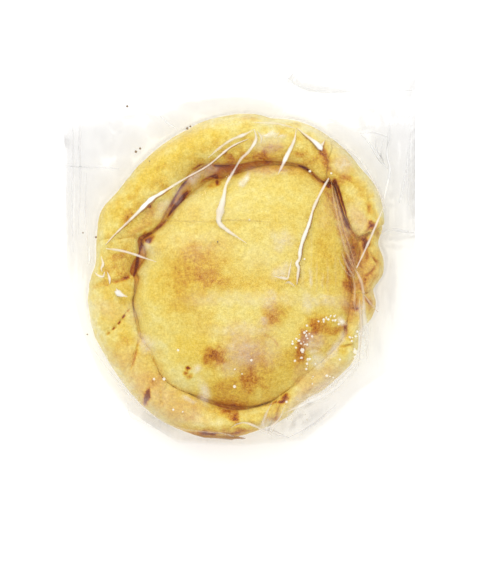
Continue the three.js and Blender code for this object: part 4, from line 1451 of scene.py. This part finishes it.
@dataclass
class BagFilm:
    """The bag as one closed shell of thin clear film, and the creases on it.

    A side's haze sets in between the first two distances out, ends between the next two, and sets in
    between the last two heights up.
    """

    form: FilmForm
    pie: PieForm
    haze: float = 0.14
    rim_shadow: float = 0.16
    rim_shadow_reach: float = 1.4
    rim_shadow_over: Span = (-25.0, 10.0)
    shade_edge: float = 2.6
    haze_left: Row = (43.0, 49.0, 55.0, 60.0, -6.0, 14.0)
    haze_right: Row = (43.0, 49.0, 57.0, 62.0, 10.0, 15.0)
    haze_top: Span = (49.0, 54.0)
    haze_mottle: Mottle = Mottle(1.0, 0.7, (1.3, 22.0), 54)
    smoke_shake: tuple[object, ...] = (0.3, (1.5, 51), (2.2, 52))
    smoke_mottle: Mottle = Mottle(0.9, 0.28, (0.9, 3.6), 53)
    smoke_start: Span = (-0.2, 0.4)
    shaded_fold_step: float = 1.0
    milk_shake: tuple[object, ...] = (0.9, (2.4, 41), (2.4, 42))
    milk_mottle: Mottle = Mottle(0.75, 0.35, 1.3, 43)
    trace: float = 0.12
    first_grey: float = 0.63
    streaks: float = 0.16
    streak_pitch: Span = (0.9, 16.0)
    streak_edges: Span = (0.1, 0.9)
    streak_field: Row = (29.0, 2.0, 7.0, 13.0)
    # painted sheen where the film bends down at the rim, by angle
    edge_milk: Stops = (
        (0, 0.06), (15, 0.03), (30, 0.22), (45, 0.12), (60, 0.28), (75, 0.2), (90, 0.2), (110, 0.18),
        (135, 0.05), (150, 0.08), (165, 0.04), (180, 0.08), (200, 0.22), (215, 0.26), (240, 0.28),
        (252, 0.04), (274, 0.04), (286, 0.26), (300, 0.16), (315, 0.09), (330, 0.08), (345, 0.1),
    )
    edge_reach: float = 3.2
    edge_start: Span = (-1.6, 0.2)
    columns: int = 540
    front_rings: int = 128
    back_rings: int = 22
    back_height: float = 0.06
    crumples: Stops = ((0.16, 9.0, 45), (0.08, 4.1, 46))
    crest_sharpness: float = 1.6
    crumple_edge: float = 0.04
    ridge_edge: float = 0.03
    ridge_fade: float = 5.0
    back_rise: Span = (50.0, 60.0)
    back_rise_share: Span = (0.75, 1.0)
    crease_height: float = 0.35
    crease_width: float = 1.2
    ridge_step: float = 1.5
    ridge_reach: float = 0.9
    bead_step: float = 0.55
    bead_least: float = 0.06
    bead_share: float = 0.22
    bead_lift: float = 0.1
    least_width: float = 0.1
    width_mottle: Mottle = Mottle(1.0, 0.25, 1.8, 47)
    glow_mottle: Mottle = Mottle(0.95, 0.22, 2.6, 48)
    crease_gain: float = 1.1
    crown_power: float = 1.2
    broad_half: Span = (0.25, 0.85)
    narrow_glow: float = 0.68
    narrow_tan: float = 0.4
    plain_tan: float = 0.3
    tan_over: Span = (1.5, 0.0)
    cool_over: Span = (3.5, 6.0)
    line_gap: float = 0.05
    line_share: float = 0.5
    line_least: float = 0.08
    line_glow: float = 0.8
    line_tan: float = 2.0
    line_mottle: Mottle = Mottle(-0.3, 1.0, 4.0, 49)
    shaded: Span = (0.5, -0.85)
    around: Array = field(default_factory=lambda: np.radians(np.arange(0, 360, 24.0)))

    def angles(self) -> Array:
        """Even angles, with the one nearest each corner moved onto it.

        Returns:
            One angle in degrees for each column.
        """
        degrees = np.arange(self.columns) * 360.0 / self.columns
        corners = np.degrees(np.arctan2(*np.array(self.form.corners, dtype=float).T[::-1])) % 360.0
        degrees[np.abs(turn(degrees[None], corners[:, None])).argmin(axis=1)] = corners
        return degrees

    def milk(self, place: Array) -> Array:
        """How milky the film is at places in plan: painted sheen and highlights where it catches the light.

        Each veil's edge is shaken by noise and its strength mottled, and the strongest counts. The lid's
        right has fine upright streaks. Where the film bends down at the pie's rim it takes a painted sheen
        too, in a bell of the distance inwards from the rim, as strong as the stops say.

        Args:
            place: The places.

        Returns:
            A share from 0 up for each place.
        """
        moved, mottle = shaken(place, *self.milk_shake), self.milk_mottle.at(place)
        milk = np.zeros(place.shape[:-1])
        for veil in VEILS:
            milk = np.maximum(milk, veil.strength * mottle * veil.share(moved[..., 0], moved[..., 1]))
        x, y, wide, high = self.streak_field
        streaks = self.streaks * ease(noise(place, self.streak_pitch, seed=44), *self.streak_edges)
        lid_right = bell(place[..., 0] - x, wide) * bell(place[..., 1] - y, high)
        milk = np.maximum(milk, streaks * lid_right)

        inside = -self.pie.outside(place)
        strength = round_value(np.degrees(np.arctan2(place[..., 1], place[..., 0])), self.edge_milk)
        rim = strength * bell(np.maximum(inside, 0.0), self.edge_reach) * ease(inside, *self.edge_start)
        return milk + rim * mottle

    def smoke(self, place: Array) -> Array:
        """How grey the free margin is: painted shade in the film's folds, and the pie's painted shadow.

        Beside the food lies a thin grey haze, with a soft dark line round the pie's upper rim that is a
        painted shadow. The shades are fields, and the shaded folds bells across their paths. The darkest
        counts. Noise drawn out along y shakes their edges and mottles them, and a trace of grey takes a
        first share at once. There is none over the pie.

        Args:
            place: The places.

        Returns:
            A share from 0 to 1 for each place.
        """
        moved, mottle = shaken(place, *self.smoke_shake), self.smoke_mottle.at(place)
        x, y = place[..., 0], place[..., 1]
        beside = sum(band(out, *reach[:4]) * ease(y, *reach[4:])
                     for out, reach in ((-x, self.haze_left), (x, self.haze_right)))
        grey = self.haze * beside * (1.0 - ease(y, *self.haze_top)) * self.haze_mottle.at(place)
        outside = self.pie.outside(place)
        # a soft painted shadow round the pie's upper rim
        line = self.rim_shadow * bell(np.maximum(outside, 0.0), self.rim_shadow_reach) * ease(y, *self.rim_shadow_over)
        grey = np.maximum(grey, line)
        for shade in SHADES:
            share = shade.share(moved[..., 0], moved[..., 1], self.shade_edge)
            grey = np.maximum(grey, shade.strength * mottle * share)
        for shaded_fold in SHADED_FOLDS:
            path = smooth_path(np.array(shaded_fold.path), self.shaded_fold_step)
            away, share = distance_to_path(moved, path)
            width = np.interp(share, np.linspace(0.0, 1.0, len(path)), path[:, 2])
            grey = np.maximum(grey, shaded_fold.glow * bell(away, width))
        grey = grey * ease(outside, *self.smoke_start)
        return self.first_grey * ease(grey, 0.0, self.trace) + (1.0 - self.first_grey) * grey

    def build(self) -> bpy.types.Object:
        """Makes the shell: the back sheet's rings outwards, then the front sheet's rings inwards.

        The back sheet lies flat under the food and comes up to the margin's middle, and both sheets
        meet on the outline. The front sheet has the settled height, with low crumples and the
        creases' ridges added. A crumple is 1 - 1.6 |noise| times its height, so its crests are sharp.

        Returns:
            The object.
        """
        degrees = self.angles()
        edge = self.form.radius(degrees)
        ray = np.stack([np.cos(np.radians(degrees)), np.sin(np.radians(degrees))], axis=-1)
        out = (np.arange(1, self.back_rings + 1) / (self.back_rings + 1))[:, None]
        back_place = (out * edge)[..., None] * ray
        free = ease(np.linalg.norm(back_place, axis=-1), *self.back_rise) * ease(out, *self.back_rise_share)
        back = mix(self.back_height, self.form.resting(back_place) - self.form.half_gap, free)

        inward = (1.0 - np.arange(0, self.front_rings) / self.front_rings)[:, None]
        front_place = (inward * edge)[..., None] * ray
        front = self.form.front(front_place)
        crumple = sum(height * (1.0 - self.crest_sharpness * np.abs(noise(front_place, pitch, seed)))
                      for height, pitch, seed in self.crumples)
        front = front + np.maximum(crumple, 0.0) * ease(1.0 - inward, 0.0, self.crumple_edge)
        front[0] = self.form.resting(front_place[0])
        for crease in CREASES:
            away, share = distance_to_path(front_place, smooth_path(np.array(crease.path), self.ridge_step))
            fade = np.clip(self.ridge_fade * np.minimum(share, 1.0 - share), 0.0, 1.0)
            ridge = self.crease_height * crease.glow * fade * bell(away, self.ridge_reach)
            front += ridge * ease(1.0 - inward, 0.0, self.ridge_edge)

        place = np.concatenate([back_place, front_place])
        points = np.concatenate([place, np.concatenate([back, front])[..., None]], axis=-1)
        shows = (np.arange(len(points)) >= self.back_rings)[:, None]
        skin = Skin()
        # the milky painted sheen and the grey painted shade, on the front sheet only
        skin.add_one(points, milk=self.milk(place) * shows, smoke=self.smoke(place) * shows)
        return skin.piece("bag_film", Slot.FILM, Node.BAG)

    @staticmethod
    def side_of(path: Array) -> Array:
        """The unit direction to the left of a path, at each of its points."""
        along = np.gradient(path[:, :2], axis=0)
        return np.stack([-along[:, 1], along[:, 0]], axis=-1) / np.linalg.norm(along, axis=1, keepdims=True)

    def bead(self, path: Array, half: Array, lift: float) -> Array:
        """A slim lens-shaped bead carried along a path on the film.

        Across the path it is an oval: the width is half times the angle's cosine, and the height a
        share of it times the sine.

        Args:
            path: The path's points in plan.
            half: Half its width at each of them.
            lift: How far it lies over the front sheet.

        Returns:
            Its points, by sample and by place round it.
        """
        left = self.side_of(path)
        place = path[:, None, :2] + (half[:, None] * np.cos(self.around))[..., None] * left[:, None]
        rise = (self.bead_least + self.bead_share * half)[:, None] * np.sin(self.around)
        height = (self.form.front(path[:, :2]) + lift)[:, None] + rise
        return np.concatenate([place, height[..., None]], axis=-1)

    def add_shaded_line(self, skin: Skin, path: Array, half: Array, raised: float, patchy: Array) -> None:
        """Adds the thin brown line beside a bright crease, on the side away from the light.

        Args:
            skin: The mesh that it joins.
            path: The crease's points in plan.
            half: Half its width at each of them.
            raised: How far it lies over the front sheet.
            patchy: How much of its brightness each point has.
        """
        across = -self.side_of(path)
        side = math.copysign(1.0, float((across @ np.array(self.shaded)).mean()))
        beside = path[:, :2] + side * across * (half + self.line_gap)[:, None]
        line = np.maximum(self.line_share * half, self.line_least)
        glow = self.line_glow * np.clip(patchy + self.line_mottle.at(beside), 0.0, 1.0)
        crown = np.maximum(np.sin(self.around), 0.0)
        skin.add_one(self.bead(beside, line, raised - self.line_gap), glow=glow[:, None] * crown,
                     tan=self.line_tan, cool=0.0)

    def build_creases(self) -> bpy.types.Object:
        """Makes the sharp creases as beads, as wide as the stops say.

        The glow, a painted highlight, is strongest along a bead's crown and falls to nothing at its
        edges. A narrow crease over the food lets some of the crust's colour through, and one in the free
        margin is cool. The brightest creases have a thin painted brown line beside them, where they bend
        the crust's colour.

        Returns:
            The object.
        """
        skin = Skin()
        crown = np.maximum(np.sin(self.around), 0.0) ** self.crown_power
        for crease in CREASES:
            path = smooth_path(np.array(crease.path), self.bead_step)
            half = np.maximum(self.crease_width * path[:, 2], self.least_width) / 2
            half = half * self.width_mottle.at(path[:, :2])
            raised = self.crease_height * crease.glow + self.bead_lift
            patchy = self.glow_mottle.at(path[:, :2])
            broad = ease(half, *self.broad_half)
            bright = self.crease_gain * crease.glow * mix(self.narrow_glow, 1.0, broad) * patchy
            outside = self.pie.outside(path)
            over_food = ease(outside, *self.tan_over) * ease(crease.tan, self.plain_tan, 0.0)
            tan = crease.tan + self.narrow_tan * (1.0 - broad) * over_food
            skin.add_one(self.bead(path, half, raised), glow=np.minimum(bright[:, None] * crown, 1.0),
                         tan=tan[:, None], cool=ease(outside, *self.cool_over)[:, None])
            if crease.glow >= 1.0:
                self.add_shaded_line(skin, path, half, raised, patchy)
        return skin.piece("film_creases", Slot.FILM)


@dataclass
class Beads:
    """Drops of moisture on the film: a few large ones placed singly, and misted clusters."""

    form: FilmForm
    seed: int = 7
    singles: Stops = (
        (33, -13.6, 0.45), (32.5, -15, 0.4), (40.8, -18.8, 0.5), (40.3, -20.4, 0.5), (40.1, -25.6, 0.85),
        (22.2, -25, 0.8), (22.9, -19.1, 0.55), (25.5, -20.4, 0.5), (34.9, -28.2, 0.4), (30.5, -33.7, 0.55),
        (33.6, -36.7, 0.4), (18.9, -22.8, 0.5), (23.8, -29.6, 0.5), (24.8, 35.3, 0.5), (32, 34.6, 0.4),
        (-27.8, -34.8, 0.5), (-24.4, -34.8, 0.6), (-0.6, -37.3, 0.6), (22.9, 5.6, 0.4), (16.9, -42.5, 0.5),
        (18.7, -48.6, 0.45), (24, -48.8, 0.35), (-19.6, -25, 0.5), (4.4, 18.8, 0.35),
    )
    clusters: Stops = (
        # x, y, spread along x and y, how many
        (23.6, -20.5, 3, 4.5, 17), (32, -14.8, 3.5, 1.8, 12), (23, -28, 2.6, 3.2, 11),
        (39.8, -23, 1.2, 4.5, 8), (28, -34, 6, 3, 5), (4, -31, 5, 3, 3), (-18, -46, 7, 3, 2),
        (20, -46, 4, 3, 4),
    )
    spot_radius: Span = (0.18, 0.52)
    crowding: float = 1.6
    lift: float = 0.12
    raised: float = 0.35
    flatness: float = 0.4
    rings: int = 5
    columns: int = 12

    def build(self) -> bpy.types.Object:
        """Makes the drops as flattened balls, each sitting on the film with its foot sunk a little.

        Returns:
            The object.
        """
        rng = np.random.default_rng(self.seed)
        spots = [np.array(self.singles)]
        for x, y, wide, high, count in self.clusters:
            away = rng.normal(size=(int(count), 2)) * (wide, high) / self.crowding
            size = rng.uniform(*self.spot_radius, size=(int(count), 1))
            spots.append(np.concatenate([away + (x, y), size], axis=1))
        spot = np.concatenate(spots)
        foot = np.column_stack([spot[:, :2], self.form.front(spot[:, :2]) + self.lift])
        drop = (ball(self.rings, self.columns) + (0.0, 0.0, self.raised)) * (1.0, 1.0, self.flatness)
        skin = Skin()
        skin.add(foot[:, None, None] + spot[:, 2, None, None, None] * drop)
        return skin.piece("moisture_beads", Slot.FILM)


@dataclass
class Crumbs:
    """Dark crumbs that lie loose in the bag."""

    form: FilmForm
    spots: Stops = (
        (-37.3, 58, 0.42), (-34.2, 42.2, 0.5), (-32.7, 43.3, 0.4), (-16.6, 49.9, 0.5), (-15.6, 50.6, 0.35),
        (-47.6, 13.1, 0.4), (-52.2, 14.7, 0.28), (-6.3, 11.4, 0.3), (-29.4, 38.8, 0.25),
        (-50.6, -19.8, 0.3),
    )
    lumps: Mottle = Mottle(1.0, 0.35, 1.0, 61)
    fineness: float = 2.0
    fullness: float = 0.9
    raised: float = 0.1
    rings: int = 7
    columns: int = 12

    def build(self) -> bpy.types.Object:
        """Makes the crumbs as balls whose radius varies by noise, under the front sheet.

        Returns:
            The object.
        """
        spot = np.array(self.spots)
        size = spot[:, 2, None, None]
        centre = np.column_stack([spot[:, :2], self.form.front(spot[:, :2])])[:, None, None]
        shape = ball(self.rings, self.columns)
        rough = self.lumps.at(self.fineness * shape + centre)
        points = centre + (self.fullness * size * rough)[..., None] * shape
        points[..., 2] += self.raised * size
        skin = Skin()
        skin.add(points)
        return skin.piece("crumbs", Slot.CRUST)


@dataclass(frozen=True)
class ClearFilm:
    """The film's finish: see-through, with a mirror's gloss, milky painted sheen and grey painted shade."""

    through: float = 0.98
    gloss: float = 0.02
    rim_gloss: float = 0.4
    roughness: float = 0.10
    milk_roughness: float = 0.5
    smoke_share: float = 0.21
    haze: float = 0.05
    haze_grain: tuple[object, ...] = (2.4, 2.0, (1.0, 0.35, 1.0))
    glow_share: float = 0.98
    mist: float = 1.2
    least_mist: float = 0.4
    mist_pitch: float = 0.9
    grey_gain: float = 4.0
    wrinkle_pitch: float = 3.2
    wrinkle_depth: float = 0.25
    white: Colour = (0.95, 0.92, 0.85)
    grey: Colour = (0.29, 0.26, 0.24)
    tan: Colour = (0.74, 0.50, 0.26)
    brown: Colour = (0.34, 0.16, 0.04)
    cool: Colour = (0.80, 0.80, 0.79)

    def material(self, glow: bool) -> bpy.types.Material:
        """Makes the material.

        The share that isn't seen through is the mirror's part plus the milky part, which is painted sheen
        and highlights, with painted shade in the free margin. The mirror's part grows towards the edge of
        what faces the view, as gloss + rim_gloss * facing^5, and sets how metallic the film is.

        Args:
            glow: Whether the piece has its own bright fields, as the creases' painted highlights have.

        Returns:
            The material.
        """
        graph = Graph("crease_film" if glow else "clear_film")
        facing = graph.add("ShaderNodeLayerWeight", None, None, "Facing")
        mirror = self.gloss + facing**5 * self.rim_gloss
        if glow:
            # the creases' glow is a painted highlight
            milk, tan = graph.attribute("glow") * self.glow_share, graph.attribute("tan")
            colour = graph.colour_mix(graph.held(tan), self.white, self.tan)
            colour = graph.colour_mix(graph.held(tan - 1.0), colour, self.brown)
            colour = graph.colour_mix(graph.attribute("cool"), colour, self.cool)
        else:
            # the free margin's painted shade, which greys the film
            smoke = graph.attribute("smoke")
            haze = (graph.grain(*self.haze_grain) - 0.5) * self.haze
            mist = self.least_mist + graph.grain(self.mist_pitch) * self.mist
            # the milky part: painted sheen and highlights, and the free margin's painted shade
            milk = graph.held(graph.attribute("milk") * mist + smoke * self.smoke_share + haze)
            colour = graph.colour_mix(graph.held(smoke * self.grey_gain), self.white, self.grey)
        share = graph.held(mirror + milk)
        metal = graph.held(mirror / share)
        shader = graph.add("ShaderNodeBsdfPrincipled", None, {
            "Base Color": colour,
            "Metallic": metal,
            "Roughness": self.milk_roughness - metal * (self.milk_roughness - self.roughness),
            "Normal": graph.bump(graph.grain(self.wrinkle_pitch), self.wrinkle_depth),
        })
        clear = graph.add("ShaderNodeBsdfTransparent", None, {"Color": (self.through,) * 3 + (1.0,)})
        return graph.finish(graph.see_through(share, clear, shader))


@dataclass(frozen=True)
class Moisture:
    """The drops' finish: clear water, its bright gloss a painted white highlight."""

    white: Colour = (0.96, 0.91, 0.78)
    body: float = 0.60
    edge_power: float = 1.5
    roughness: float = 0.25
    sheen: float = 0.6

    def material(self) -> bpy.types.Material:
        """Makes the material: a painted white highlight at the middle, seen through towards its edge.

        Returns:
            The material.
        """
        graph = Graph("moisture")
        facing = graph.add("ShaderNodeLayerWeight", None, None, "Facing")
        # the painted highlight is strongest where the drop faces the view
        share = graph.held((1.0 - facing) ** self.edge_power * self.body)
        shader = graph.add("ShaderNodeBsdfPrincipled", None, {
            "Base Color": (*self.white, 1.0),
            "Roughness": self.roughness,
            "Specular IOR Level": self.sheen,
        })
        return graph.finish(graph.see_through(share, graph.add("ShaderNodeBsdfTransparent"), shader))


@dataclass(frozen=True)
class BurntCrumb:
    """The crumbs' finish: dark toasted dough."""

    dark: Colour = seen(146, 126, 104)
    light: Colour = seen(192, 166, 134)
    mottle_pitch: float = 0.3
    contrast: float = 1.6
    roughness: float = 0.8
    relief: float = 0.1

    def material(self) -> bpy.types.Material:
        """Makes the material: two browns mottled by fine noise.

        Returns:
            The material.
        """
        graph = Graph("burnt_crumb")
        mottle = graph.grain(self.mottle_pitch)
        shader = graph.add("ShaderNodeBsdfPrincipled", None, {
            "Base Color": graph.colour_mix(graph.held(mottle * self.contrast - 0.5), self.dark, self.light),
            "Roughness": self.roughness,
            "Normal": graph.bump(mottle, self.relief),
        })
        return graph.finish(shader)


@dataclass(frozen=True)
class Lamp:
    """A square light that faces the origin: its name, its place and side in metres, and its power."""

    name: str
    place: tuple[float, float, float]
    side: float
    watts: float
    glossy: bool = True


@dataclass
class Studio:
    """A pale floor, soft lights, an even sky and the camera that looks straight down."""

    camera_height: float = 1.4
    reference_height: float = 7.5 * MM
    sensor: float = 36.0
    floor_half: float = 1.5
    floor_tone: float = 0.9
    floor_roughness: float = 0.9
    floor_glow: float = 0.20
    sky: float = 0.87
    lamps: tuple[Lamp, ...] = (
        Lamp("softbox", (0.0, 0.0, 1.5), 1.2, 3.8),
        Lamp("key", (-0.20, 0.75, 0.75), 0.5, 3.4, glossy=False),
        Lamp("glint", (-0.45, 0.62, 0.55), 0.1, 0.35),
    )

    def build(self) -> None:
        """Sets up the floor, the sky, the lights and the camera."""
        self.floor()
        self.world()
        for lamp in self.lamps:
            self.light(lamp)
        self.camera()
        bpy.context.scene.view_settings.view_transform = "Standard"

    def floor(self) -> None:
        """A plain pale floor at height 0."""
        half = self.floor_half
        corners = [(-half, -half, 0), (half, -half, 0), (half, half, 0), (-half, half, 0)]
        mesh = bpy.data.meshes.new("floor")
        mesh.from_pydata(corners, [], [(0, 1, 2, 3)])
        made = bpy.data.objects.new("floor", mesh)
        bpy.context.scene.collection.objects.link(made)
        graph = Graph("pale_floor")
        mesh.materials.append(graph.finish(graph.add("ShaderNodeBsdfPrincipled", None, {
            "Base Color": (self.floor_tone,) * 3 + (1.0,),
            "Roughness": self.floor_roughness,
            "Specular IOR Level": 0.0,
            "Emission Color": (1.0, 1.0, 1.0, 1.0),
            "Emission Strength": self.floor_glow,
        })))

    def world(self) -> None:
        """An even white sky."""
        world = bpy.data.worlds.new("sky")
        world.use_nodes = True
        world.node_tree.nodes["Background"].inputs["Color"].default_value = (self.sky,) * 3 + (1.0,)
        bpy.context.scene.world = world

    @staticmethod
    def light(lamp: Lamp) -> None:
        """Sets up one light. One that isn't glossy makes no glints.

        Args:
            lamp: Its sizes.
        """
        data = bpy.data.lights.new(lamp.name, "AREA")
        data.size = lamp.side
        data.energy = lamp.watts
        made = bpy.data.objects.new(lamp.name, data)
        made.location = lamp.place
        made.rotation_euler = (-made.location).to_track_quat("-Z", "Y").to_euler()
        made.visible_glossy = lamp.glossy
        bpy.context.scene.collection.objects.link(made)

    def camera(self) -> None:
        """The camera, whose long side spans the picture's height at the rim's widest level."""
        lens = bpy.data.cameras.new("camera")
        lens.sensor_width = self.sensor
        lens.lens = self.sensor * (self.camera_height - self.reference_height) / (PICTURE_HEIGHT * MM)
        made = bpy.data.objects.new("camera", lens)
        made.location = (PICTURE_CENTRE[0] * MM, PICTURE_CENTRE[1] * MM, self.camera_height)
        bpy.context.scene.collection.objects.link(made)
        bpy.context.scene.camera = made


def main() -> None:
    """Builds the pieces in order: the food, the film over it, what lies on the film, and the studio."""
    logging.basicConfig(level=logging.INFO, format="%(name)s: %(message)s")
    pie = PieForm()
    crust, food = Crust(pie).build()
    crust.data.materials.append(BakedDough().material())
    form = FilmForm()
    form.settle(food)
    bag = BagFilm(form, pie)
    bag.build().data.materials.append(ClearFilm().material(glow=False))
    bag.build_creases().data.materials.append(ClearFilm().material(glow=True))
    Beads(form).build().data.materials.append(Moisture().material())
    Crumbs(form).build().data.materials.append(BurntCrumb().material())
    Studio().build()


if __name__ == "__main__":
    main()
